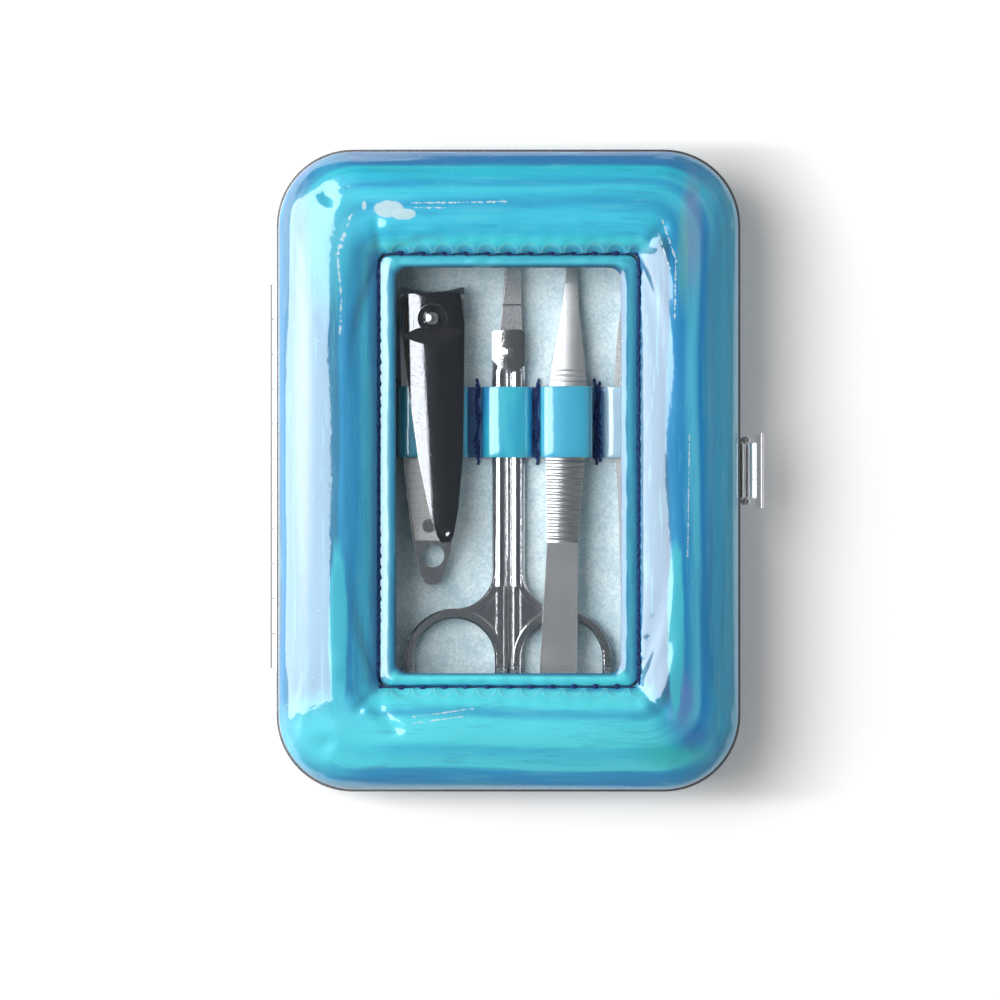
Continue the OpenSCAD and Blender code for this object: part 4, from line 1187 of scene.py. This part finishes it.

# %% [markdown]
# Over the bands lie patches where the film splits light into lavender, green and cyan, as oil does
# on water. Each is a spot with its own place, size, colour and softness; a few pale spots among
# them are painted highlights and a painted reflection of the soft box. Thin broken pale lines are
# painted glints where ridges of the foil mirror the soft box, and small arcs stand round the needle
# holes, painted paler as a highlight.

# %% Rainbow patches, painted highlights and lacquer
RING_R = 1.7
RAGGED = 0.35
GLINT_PALE = tint(215, 240, 248)
RAINBOW_AND_HIGHLIGHTS = [
    ((32.2, 42.0), (1.6, 9.0), (150, 170, 215), 0.55, 0.6),
    ((30.6, 37.5), (1.0, 8.0), (120, 215, 190), 0.4, 0.6),
    # painted reflection: this spot carries the soft box's mirror image down into the lower left corner
    ((-31.5, -46.5), (8.0, 6.0), (94, 232, 248), 0.8, 0.6),
    ((28.5, -49.8), (5.5, 2.0), (40, 200, 180), 0.5, 0.7),
    ((32.5, -46.8), (3.5, 2.4), (35, 90, 190), 0.5, 0.7),
    ((30.5, -40.5), (2.2, 4.5), (150, 150, 220), 0.35, 0.7),
    ((-31.0, 41.0), (4.6, 12.0), (80, 218, 238), 0.5, 0.5),
    # painted highlights: the next three pale spots are where the top padding mirrors the soft box
    ((-21.0, 45.8), (2.6, 1.5), (205, 236, 244), 0.9, 0.12),
    ((-18.4, 44.9), (2.1, 1.0), (205, 236, 244), 0.9, 0.12),
    ((-25.3, 46.4), (0.4, 0.8), (205, 236, 244), 0.9, 0.3),
    ((-29.9, -29.0), (1.6, 16.0), (84, 216, 238), 0.85, 0.15),
    ((29.3, -27.5), (1.4, 15.5), (78, 212, 228), 0.85, 0.15),
    ((-36.0, 10.0), (1.4, 30.0), (170, 185, 225), 0.45, 0.7),
    ((35.5, 10.0), (1.0, 32.0), (96, 170, 200), 0.4, 0.5)]
# painted highlights: thin pale broken lines where ridges of the foil would mirror the soft box
PAINTED_GLINTS = [
    ((-17.0, 46.8), (-0.5, 47.1), 0.16), ((-16.5, 46.0), (-11.0, 46.0), 0.12),
    ((-16.6, -43.2), (-6.4, -41.8), 0.12), ((-16.6, -44.3), (-7.2, -43.0), 0.10),
    ((26.9, 43.8), (29.3, 37.0), 0.14), ((29.3, 37.0), (29.1, 26.0), 0.14),
    ((26.2, 41.5), (28.2, 35.5), 0.12), ((-27.7, 44.5), (-30.0, 37.9), 0.30),
    ((-30.0, 37.9), (-29.3, 30.0), 0.16), ((-29.3, 30.0), (-29.5, 23.8), 0.20),
    ((31.7, 6.0), (31.4, -15.0), 0.10)]


def add_rainbow_and_highlights(tree, colour):
    """Blends the rainbow patches, with the painted highlight and reflection spots among them, over a
    colour.
    """
    uneven = sums(tree, "SUBTRACT", grain(tree, 900, 3.0, (1, 0.25, 1)), 0.5)
    ragged = sums(tree, "MULTIPLY", uneven, RAGGED)
    for middle, halves, hue, most, soft in RAINBOW_AND_HIGHLIGHTS:
        edge = sums(tree, "ADD", distance_from(tree, *middle, *halves), ragged)
        share = spread(tree, edge, 1 + soft, 1 - soft, 0.0, most)
        colour = blend_colors(tree, share, colour, tint(*hue))
    return colour


def add_painted_glints(tree, colour):
    """Draws thin broken pale lines: painted glints where ridges of the foil mirror the soft box."""
    parts = place_parts(tree)
    broken = grain(tree, 1500, 2.0)
    for (from_x, from_y), (to_x, to_y), half in PAINTED_GLINTS:
        length = math.hypot(to_x - from_x, to_y - from_y)
        along_x = (to_x - from_x) / length
        along_y = (to_y - from_y) / length
        east = sums(tree, "MULTIPLY_ADD", parts.outputs["X"], 1 / MM, -from_x)
        north = sums(tree, "MULTIPLY_ADD", parts.outputs["Y"], 1 / MM, -from_y)
        along = sums(tree, "MULTIPLY_ADD", east, along_x, sums(tree, "MULTIPLY", north, along_y))
        aside = sums(tree, "MULTIPLY_ADD", east, along_y, sums(tree, "MULTIPLY", north, -along_x))
        before = sums(tree, "MULTIPLY", along, -1)
        past = sums(tree, "MAXIMUM", sums(tree, "SUBTRACT", along, length), before)
        far = sums(tree, "MAXIMUM", sums(tree, "ABSOLUTE", aside), sums(tree, "MULTIPLY", past, 0.5))
        far = sums(tree, "MULTIPLY_ADD", sums(tree, "SUBTRACT", broken, 0.5), 5 * half, far)
        share = spread(tree, far, half, 0.4 * half, 0.0, 0.8)
        colour = blend_colors(tree, share, colour, GLINT_PALE)
    return colour


def needle_rings(tree):
    """Height of the small raised arcs that stand round the needle holes of the two end seams."""
    parts = place_parts(tree)
    across = put(tree, "Attribute", attribute_name="across")
    facing = put(tree, "Attribute", attribute_name="facing")
    turned = put(tree, "SeparateXYZ")
    plug(tree, facing.outputs["Vector"], turned.inputs[0])
    width = FRAME_EDGE[0] - STITCH_EDGE[0]
    away = sums(tree, "MULTIPLY", sums(tree, "SUBTRACT", 1, across.outputs["Fac"]), width)
    beside = sums(tree, "PINGPONG", sums(tree, "DIVIDE", parts.outputs["X"], MM), STITCH_PITCH / 2)
    far = sums(tree, "SQRT", sums(tree, "ADD", sums(tree, "MULTIPLY", away, away),
                                  sums(tree, "MULTIPLY", beside, beside)))
    off_ring = sums(tree, "ABSOLUTE", sums(tree, "SUBTRACT", far, RING_R))
    on_end = spread(tree, sums(tree, "ABSOLUTE", turned.outputs["Y"]), 0.9, 1.0)
    return sums(tree, "MULTIPLY", spread(tree, off_ring, 0.45, 0.0), on_end)


def foil_finish(name, group, waver=0.16, patches=True):
    """Holographic film under clear lacquer with a slight orange peel."""
    material, tree, shader = new_finish(name, Metallic=0.1, Roughness=0.32, Coat_Weight=1.0,
                                        Coat_Roughness=0.025, Coat_IOR=1.8)
    colour = use_group(tree, group, Waver=waver).outputs["Color"]
    if patches:
        colour = add_painted_glints(tree, add_rainbow_and_highlights(tree, colour))
        rings = needle_rings(tree)
        # painted highlight: the raised arcs round the needle holes are painted paler, as if they caught the
        # lamp
        colour = blend_colors(tree, sums(tree, "MULTIPLY", rings, 0.5), colour, tint(120, 228, 240))
    spots = use_group(tree, pits, Scale=900, Density=0.05, Size=0.12)
    dust = sums(tree, "MULTIPLY", spots.outputs["Mask"], 0.25)
    colour = blend_colors(tree, dust, colour, tint(235, 245, 250))
    plug(tree, colour, shader.inputs["Base Color"])
    peel = sums(tree, "MULTIPLY_ADD", grain(tree, 1100, 2.0), 0.6, grain(tree, 260, 1.0))
    if patches:
        peel = sums(tree, "MULTIPLY_ADD", rings, 1.6, peel)
    bump(tree, shader, peel, 0.05, 0.6, coat=True)
    return material


pad_foil = foil_finish("pad_foil", pad_bands)
print("foil:", len(pad_foil.node_tree.nodes), "nodes")

# %% [markdown]
# The welt and the back are the same film. The welt has a painted highlight, one pale line where it
# is highest and palest on the left towards the lamp, and painted shade beside the window, and the
# back has quieter bands, as nothing but its edge is seen.

# %% Foil of the welt, back and band
# painted light: in each welt ramp the middle stops are a painted highlight on the crest, paler on the left,
# and the last stop is painted shade beside the window
WELT_LEFT = [(0.0, (38, 120, 172)), (0.2, (110, 188, 224)), (0.45, (140, 214, 238)), (0.7, (64, 170, 212)),
             (1.0, (35, 95, 140))]
WELT_SIDES = [(0.0, (38, 120, 172)), (0.2, (60, 165, 210)), (0.45, (85, 195, 225)), (0.7, (60, 160, 200)),
              (1.0, (35, 95, 140))]
WELT_ENDS = [(0.0, (40, 130, 180)), (0.2, (70, 200, 225)), (0.65, (84, 212, 232)), (1.0, (34, 100, 142))]
WELT_BOTTOM = [(0.0, (46, 156, 206)), (0.2, (82, 232, 250)), (0.65, (98, 242, 252)), (1.0, (40, 120, 164))]
BACK_BANDS = [(0.0, (40, 120, 175)), (0.04, (50, 150, 200)), (0.12, (70, 190, 220)), (0.25, (45, 140, 195)),
              (0.5, (62, 178, 212)), (0.8, (70, 195, 222)), (1.0, (55, 165, 205))]
# painted shade: the band ramp runs from dark low by the felt to pale on top of the arches, read by height
BAND_COLOURS = [(0.0, (26, 92, 150)), (0.3, (38, 124, 178)), (0.5, (44, 156, 194)), (0.75, (52, 172, 192)),
                (1.0, (58, 158, 190))]
PALE_FROM = 16.9


def welt_values(piece):
    """The welt's own guide values, from its outer edge to the window."""
    guide_values(piece)
    across = piece.data.attributes["across"]
    for i, vert in enumerate(piece.data.vertices):
        across.data[i].value = share_of_welt(vert.co.x / MM, vert.co.y / MM)


def band_finish():
    """The same film on the narrow band, with painted shade by height, dark low down and pale on top,
    drifting along the strip.
    """
    material, tree, shader = new_finish("band_foil", Metallic=0.1, Roughness=0.3, Coat_Weight=1.0,
                                        Coat_Roughness=0.04, Coat_IOR=1.9)
    parts = place_parts(tree)
    ramp = put(tree, "ValToRGB")
    fill_ramp(ramp, BAND_COLOURS)
    height = sums(tree, "DIVIDE", sums(tree, "SUBTRACT", parts.outputs["Z"], FELT_LEVEL * MM), 5.5 * MM)
    drift = sums(tree, "MULTIPLY", sums(tree, "SUBTRACT", grain(tree, 420, 2.0, (1, 0.12, 1)), 0.5), 0.9)
    plug(tree, sums(tree, "ADD", height, drift), ramp.inputs[0])
    pale = spread(tree, parts.outputs["X"], PALE_FROM * MM, (PALE_FROM + 0.5) * MM)
    colour = blend_colors(tree, pale, ramp.outputs[0], tint(168, 198, 218))
    plug(tree, colour, shader.inputs["Base Color"])
    bump(tree, shader, grain(tree, 700, 2.0), 0.05, 0.5, coat=True)
    return material


welt_values(welt)
welt_bands = bands_group("welt_bands", [(WELT_ENDS, "Y", 1), (WELT_BOTTOM, "Y", -1), (WELT_LEFT, "X", -1),
                                        (WELT_SIDES, "X", 1)])
back_bands = bands_group("back_bands", [(BACK_BANDS, "Y", 1), (BACK_BANDS, "Y", -1), (BACK_BANDS, "X", -1),
                                        (BACK_BANDS, "X", 1)])
welt_foil = foil_finish("welt_foil", welt_bands, waver=0.35, patches=False)
back_foil = foil_finish("back_foil", back_bands, waver=0.4, patches=False)
band_foil = band_finish()
print("foils:", welt_foil.name, back_foil.name, band_foil.name)

# %% [markdown]
# Felt scatters light and has no gloss. Its fibres show as fine mottling in the colour and as a
# rough bump, and handling has pressed it darker in places. Thread is soft as well, with a twist
# that shows as bright fibres, and the pressed board is grey card.

# %% Felt, thread and card


def felt_finish(name, pale, dark):
    """Felt with fibres, patches and a soft sheen."""
    material, tree, shader = new_finish(name, Roughness=1.0, Specular_IOR_Level=0.1, Sheen_Weight=0.25,
                                        Sheen_Roughness=0.6)
    spots = use_group(tree, mottle, Patch=150, Grain=1900)
    share = sums(tree, "MULTIPLY", spots.outputs["Mask"], 0.5)
    share = sums(tree, "MULTIPLY_ADD", spots.outputs["Fine"], 0.6, share)
    colour = blend_colors(tree, spread(tree, share, 0.36, 0.76), tint(*dark), tint(*pale))
    plug(tree, colour, shader.inputs["Base Color"])
    bump(tree, shader, spots.outputs["Fine"], 0.25, 0.8)
    return material


def thread_finish(name, deep, light):
    """Sewing thread with its twist."""
    material, tree, shader = new_finish(name, Roughness=0.75, Specular_IOR_Level=0.3, Sheen_Weight=0.2)
    twist = grain(tree, 4200, 2.0, (1, 1, 0.5))
    colour = blend_colors(tree, spread(tree, twist, 0.45, 0.75), tint(*deep), tint(*light))
    plug(tree, colour, shader.inputs["Base Color"])
    bump(tree, shader, twist, 0.10)
    return material


def card_finish():
    """Grey board with fibres."""
    material, tree, shader = new_finish("card", Roughness=0.9, Specular_IOR_Level=0.2)
    spots = use_group(tree, mottle, Patch=500, Grain=3200)
    plug(tree, blend_colors(tree, spots.outputs["Fine"], tint(120, 116, 108), tint(168, 162, 150)),
         shader.inputs["Base Color"])
    bump(tree, shader, spots.outputs["Fine"], 0.08)
    return material


tray_felt_finish = felt_finish("felt", (240, 250, 253), (184, 211, 221))
navy_thread = thread_finish("navy_thread", (14, 38, 92), (40, 84, 150))
card = card_finish()
print("soft finishes:", tray_felt_finish.name, navy_thread.name, card.name)

# %% [markdown]
# The tools are plated steel. A mirror finish is dark where it looks at the dim ceiling and white
# where it looks at the soft box, so the shapes do the work, and the finish only adds fine pits
# and edges that are rougher from wear and painted pale as a highlight. The scissors' box, the pins
# and the tweezers are slightly rounded by their relief, the tweezers are brushed along their
# length, and the blades and tips are ground matt. Between two knuckles of the hinge lies a gap that
# catches no light, so it is drawn dark, and the outer side of the knuckles is painted dark as shade.

# %% Metals
KNUCKLE_PITCH = 6.2
KNUCKLE_END = -35.1
KNUCKLE_EDGE = -41.35
GAP_HALF = 0.12
FAR_END = 60
BLADES_FROM = 25.3
TIPS_FROM = 14.5


def rounded_height(tree, middle, radius, low_y, high_y, lean=0.0):
    """Height in millimetres of a surface rounded across X between two lines in Y."""
    parts = place_parts(tree)
    east = sums(tree, "MULTIPLY_ADD", parts.outputs["X"], 1 / MM, -middle)
    east = sums(tree, "MULTIPLY_ADD", parts.outputs["Y"], -lean / MM, east)
    drop = sums(tree, "MULTIPLY", sums(tree, "MULTIPLY", east, east), -0.5 / radius)
    inside = sums(tree, "MULTIPLY", sums(tree, "GREATER_THAN", parts.outputs["Y"], low_y * MM),
                  sums(tree, "LESS_THAN", parts.outputs["Y"], high_y * MM))
    return sums(tree, "MULTIPLY", drop, inside)


def domed_height(tree, x, y, radius):
    """Height in millimetres of a ball's cap round a point."""
    far = distance_from(tree, x, y, 1, 1)
    return sums(tree, "MULTIPLY", sums(tree, "MULTIPLY", far, far), -0.5 / radius)


def add_relief(material, height):
    """Adds a height in millimetres to the relief that a plated finish has already."""
    tree = material.node_tree
    node = next(n for n in tree.nodes if n.bl_idname == "ShaderNodeBump")
    before = node.inputs["Height"].links[0].from_socket
    scale = node.inputs["Distance"].default_value / MM * node.inputs["Strength"].default_value
    plug(tree, sums(tree, "MULTIPLY_ADD", height, 1 / scale, before), node.inputs["Height"])


def plated_finish(name, colour, roughness, pit_amount, edge_highlight=0.3, brushed=0.0, stretch=0.02, waves=0.0,
                  speckle=0.0):
    """Plated metal with pits, edges rougher from wear and painted pale as a highlight, and, if wanted,
    speckle and brushing along Y.
    """
    material, tree, shader = new_finish(name, Metallic=1.0)
    spots = use_group(tree, pits, Scale=3200, Density=pit_amount, Size=0.32)
    worn_and_highlit = use_group(tree, edge_wear_and_highlight, Radius=0.00022)
    pitted = sums(tree, "MULTIPLY", spots.outputs["Mask"], 0.55)
    dark = blend_colors(tree, pitted, tint(*colour), tint(70, 70, 74))
    # painted highlight: edges are blended towards white, as if rounded edges caught the light; the
    # roughness gain below is wear
    edge_highlight_share = sums(tree, "MULTIPLY", worn_and_highlit.outputs["Mask"], edge_highlight)
    pale = blend_colors(tree, edge_highlight_share, dark, tint(250, 250, 250))
    plug(tree, pale, shader.inputs["Base Color"])
    lines = use_group(tree, scratches, Scale=2600, Stretch=stretch)
    blur = sums(tree, "MULTIPLY_ADD", lines.outputs["Height"], 0.04 + 0.1 * brushed, roughness - 0.02)
    plug(tree, sums(tree, "MULTIPLY_ADD", worn_and_highlit.outputs["Mask"], 0.12, blur), shader.inputs["Roughness"])
    relief = sums(tree, "MULTIPLY", lines.outputs["Height"], brushed)
    relief = sums(tree, "MULTIPLY_ADD", grain(tree, 500, 1.0), waves, relief)
    relief = sums(tree, "MULTIPLY_ADD", grain(tree, 2600, 1.0), speckle, relief)
    relief = sums(tree, "MULTIPLY_ADD", spots.outputs["Mask"], -0.06, relief)
    bump(tree, shader, relief, 0.10, 0.5)
    return material


def matt_beyond(material, start, rough):
    """Raises the roughness beyond a line across the piece, given in Y, where it was ground."""
    tree = material.node_tree
    shader = tree.nodes["Principled BSDF"]
    usual = shader.inputs["Roughness"].links[0].from_socket
    parts = place_parts(tree)
    ground = sums(tree, "GREATER_THAN", parts.outputs["Y"], start * MM)
    plug(tree, sums(tree, "MULTIPLY_ADD", ground, rough, usual), shader.inputs["Roughness"])


def knuckle_painted_shade(material, edge, first, pitch):
    """Paints shade dark into the gaps between the hinge knuckles and over their outer side, left of a line
    given in X.
    """
    tree = material.node_tree
    shader = tree.nodes["Principled BSDF"]
    usual = shader.inputs["Base Color"].links[0].from_socket
    parts = place_parts(tree)
    along = sums(tree, "MULTIPLY_ADD", parts.outputs["Y"], 1 / MM, -first)
    near = sums(tree, "LESS_THAN", sums(tree, "PINGPONG", along, pitch / 2), GAP_HALF)
    gaps = sums(tree, "MULTIPLY", near, sums(tree, "LESS_THAN", parts.outputs["X"], edge * MM))
    # painted shade: the outer side of the knuckles is blended towards near-black
    shaded_rim = spread(tree, parts.outputs["X"], (edge - 0.55) * MM, (edge - 0.85) * MM, 0.0, 0.92)
    share = sums(tree, "MAXIMUM", gaps, shaded_rim)
    plug(tree, blend_colors(tree, share, usual, tint(16, 16, 18)), shader.inputs["Base Color"])


chrome = plated_finish("chrome", (226, 227, 230), 0.12, 0.16, waves=0.12, speckle=0.3)
pin_chrome = plated_finish("pin_chrome", (226, 227, 230), 0.12, 0.16, speckle=0.6)
screw_chrome = plated_finish("screw_chrome", (226, 227, 230), 0.12, 0.16, speckle=0.6)
clasp_chrome = plated_finish("clasp_chrome", (251, 252, 253), 0.30, 0.05)
scissor_chrome = plated_finish("scissor_chrome", (222, 222, 225), 0.11, 0.30, waves=0.12, speckle=0.55)
lever_chrome = plated_finish("lever_chrome", (136, 137, 142), 0.07, 0.30, waves=0.05, speckle=0.14)
brushed_steel = plated_finish("brushed_steel", (208, 208, 210), 0.24, 0.04, brushed=0.35)
file_grit = plated_finish("file_grit", (190, 190, 190), 0.48, 0.45, brushed=0.15, stretch=1.0)
nickel = plated_finish("nickel", (205, 206, 208), 0.17, 0.05, edge_highlight=0.5, brushed=0.08, stretch=0.05)
pin_metal = plated_finish("pin_metal", (196, 197, 200), 0.22, 0.06, edge_highlight=0.5)
knuckle_painted_shade(nickel, KNUCKLE_EDGE, KNUCKLE_END, KNUCKLE_PITCH)
matt_beyond(scissor_chrome, BLADES_FROM, 0.12)
matt_beyond(brushed_steel, TIPS_FROM, 0.14)
add_relief(scissor_chrome, rounded_height(scissor_chrome.node_tree, 0, 13, 18.0, 25.2))
add_relief(brushed_steel, rounded_height(brushed_steel.node_tree, 10.1, 9, -12.8, FAR_END, lean=0.035))
add_relief(pin_chrome, domed_height(pin_chrome.node_tree, -13.55, 27.0, 1.9))
add_relief(screw_chrome, domed_height(screw_chrome.node_tree, 0, 21.2, 1.8))
print("metals:", chrome.name, brushed_steel.name, nickel.name, file_grit.name)

# %% [markdown]
# The window is a sheet of clear film, thin and a little wavy, so it shows short glints. It is
# glass to the eye, but it must not darken the tools below it, so rays that carry light to them
# pass straight through.

# %% Clear film


def film_finish():
    """Clear film with glints, and no shadow."""
    material, tree, shader = new_finish("film", Transmission_Weight=1.0, Roughness=0.02, IOR=1.12)
    shader.inputs["Base Color"].default_value = (0.97, 0.985, 0.99, 1)
    bump(tree, shader, grain(tree, 140, 2.0), 0.04, 0.25)
    clear = put(tree, "BsdfTransparent", {"Color": (0.98, 0.99, 0.99, 1)})
    path = put(tree, "LightPath")
    either = put(tree, "MixShader")
    plug(tree, path.outputs["Is Shadow Ray"], either.inputs[0])
    plug(tree, shader.outputs[0], either.inputs[1])
    plug(tree, clear.outputs[0], either.inputs[2])
    output = tree.nodes["Material Output"]
    plug(tree, either.outputs[0], output.inputs["Surface"])
    return material


film = film_finish()
print("film:", film.name)

# %% [markdown]
# The floor is pale paper that runs out of view. It is white to the camera and in reflections. Close
# to the case it glows less of itself, a painted shade round the case, so that the soft shadow beside
# the case stays deep.

# %% Floor
GLOW_NEAR = 0.15
GLOW_FAR = 0.42
GLOW_REACH = 24
GLOW_SQUEEZE = 4.5
FLOOR_R = 4
FLOOR_RIM = 3.2


def away_from_case(tree):
    """Distance from the case's rectangle in plan, in metres, growing faster above and below it."""
    place = put(tree, "TexCoord")
    size = put(tree, "VectorMath", operation="ABSOLUTE")
    past = put(tree, "VectorMath", {1: (FRAME_EDGE[0] * MM, FRAME_EDGE[1] * MM, 1)}, operation="SUBTRACT")
    outer = put(tree, "VectorMath", {1: (0, 0, 0)}, operation="MAXIMUM")
    squeezed = put(tree, "VectorMath", {1: (1, GLOW_SQUEEZE, 1)}, operation="MULTIPLY")
    far = put(tree, "VectorMath", operation="LENGTH")
    plug(tree, place.outputs["Object"], size.inputs[0])
    plug(tree, size.outputs[0], past.inputs[0])
    plug(tree, past.outputs[0], outer.inputs[0])
    plug(tree, outer.outputs[0], squeezed.inputs[0])
    plug(tree, squeezed.outputs[0], far.inputs[0])
    return far.outputs["Value"]


def paper_finish():
    """White paper that glows for the rays that look at it, less beside the case."""
    material, tree, shader = new_finish("paper", Roughness=0.9, Specular_IOR_Level=0.1)
    shade = blend_colors(tree, grain(tree, 900, 2.0), (0.92, 0.90, 0.87, 1), (0.94, 0.92, 0.89, 1))
    plug(tree, shade, shader.inputs["Base Color"])
    shader.inputs["Emission Color"].default_value = WHITE
    glow = spread(tree, away_from_case(tree), 0, GLOW_REACH * MM, GLOW_NEAR, GLOW_FAR)
    glow = sums(tree, "MULTIPLY", seen_rays(tree.nodes, tree.links), glow)
    plug(tree, glow, shader.inputs["Emission Strength"])
    return material


deselect()
bpy.ops.mesh.primitive_circle_add(vertices=96, radius=FLOOR_R, fill_type="NGON", location=(0, 0, 0))
floor = bpy.context.object
floor.name = "floor"
edit(floor)
bpy.ops.mesh.select_all(action="SELECT")
bpy.ops.mesh.inset(thickness=FLOOR_RIM)
deselect()
print("floor:", len(floor.data.polygons), "faces")

# %% [markdown]
# Each piece now gets its finish. A carried-over solid keeps its shape, and only its material
# slots change.

# %% Finishes of the solids
SOLID_FINISH = {
    "lower_frame": nickel, "upper_frame": nickel, "clasp_bracket": nickel, "clasp_lever": clasp_chrome,
    "clasp_catch": nickel, "hinge_pin": pin_metal, "clasp_rivets": pin_metal, "clasp_pin": pin_metal,
    "clasp_spring": pin_metal, "tray_board": card, "lid_board": card, "window_film": film,
    "clipper_lower_leaf": chrome, "clipper_upper_leaf": chrome, "clipper_rivet": chrome,
    "clipper_pin": pin_chrome, "clipper_lever": lever_chrome, "clipper_file": file_grit,
    "scissors_screw": screw_chrome, "scissors_left": scissor_chrome, "scissors_right": scissor_chrome,
    "tweezer_upper_arm": brushed_steel, "tweezer_lower_arm": brushed_steel, "nail_file": file_grit}


def dress(piece, material):
    """Gives a piece one material in all its slots."""
    if not piece.material_slots:
        piece.data.materials.append(material)
    for slot in piece.material_slots:
        slot.material = material


for name, material in SOLID_FINISH.items():
    dress(bpy.data.objects[name], material)
dress(floor, paper_finish())
print("solids with a finish:", len(SOLID_FINISH))

# %% [markdown]
# A new piece also rides a body and names its slot, and the solids it replaces are hidden.

# %% Rides and slots
NEW_PIECES = [
    (lid_skin, pad_foil, "lid", "skin", ["lid_cover", "lid_foam"]),
    (welt, welt_foil, "lid", "hem", ["window_hem"]),
    (end_thread, navy_thread, "lid", "hem", []),
    (left_thread, navy_thread, "lid", "hem", []),
    (right_thread, navy_thread, "lid", "hem", []),
    (lid_felt, tray_felt_finish, "lid", "felt", ["lid_lining"]),
    (tray_felt, tray_felt_finish, "base", "felt", ["tray_lining"]),
    (band, band_foil, "base", "skin", ["tool_band"]),
    (band_thread, navy_thread, "base", "felt", []),
    (back_skin, back_foil, "base", "skin", ["back_cover", "back_padding"])]

for piece, material, body, slot, nodes in NEW_PIECES:
    dress(piece, material)
    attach(piece, body)
    if nodes:
        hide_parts(*nodes)
print("new pieces:", len(NEW_PIECES))
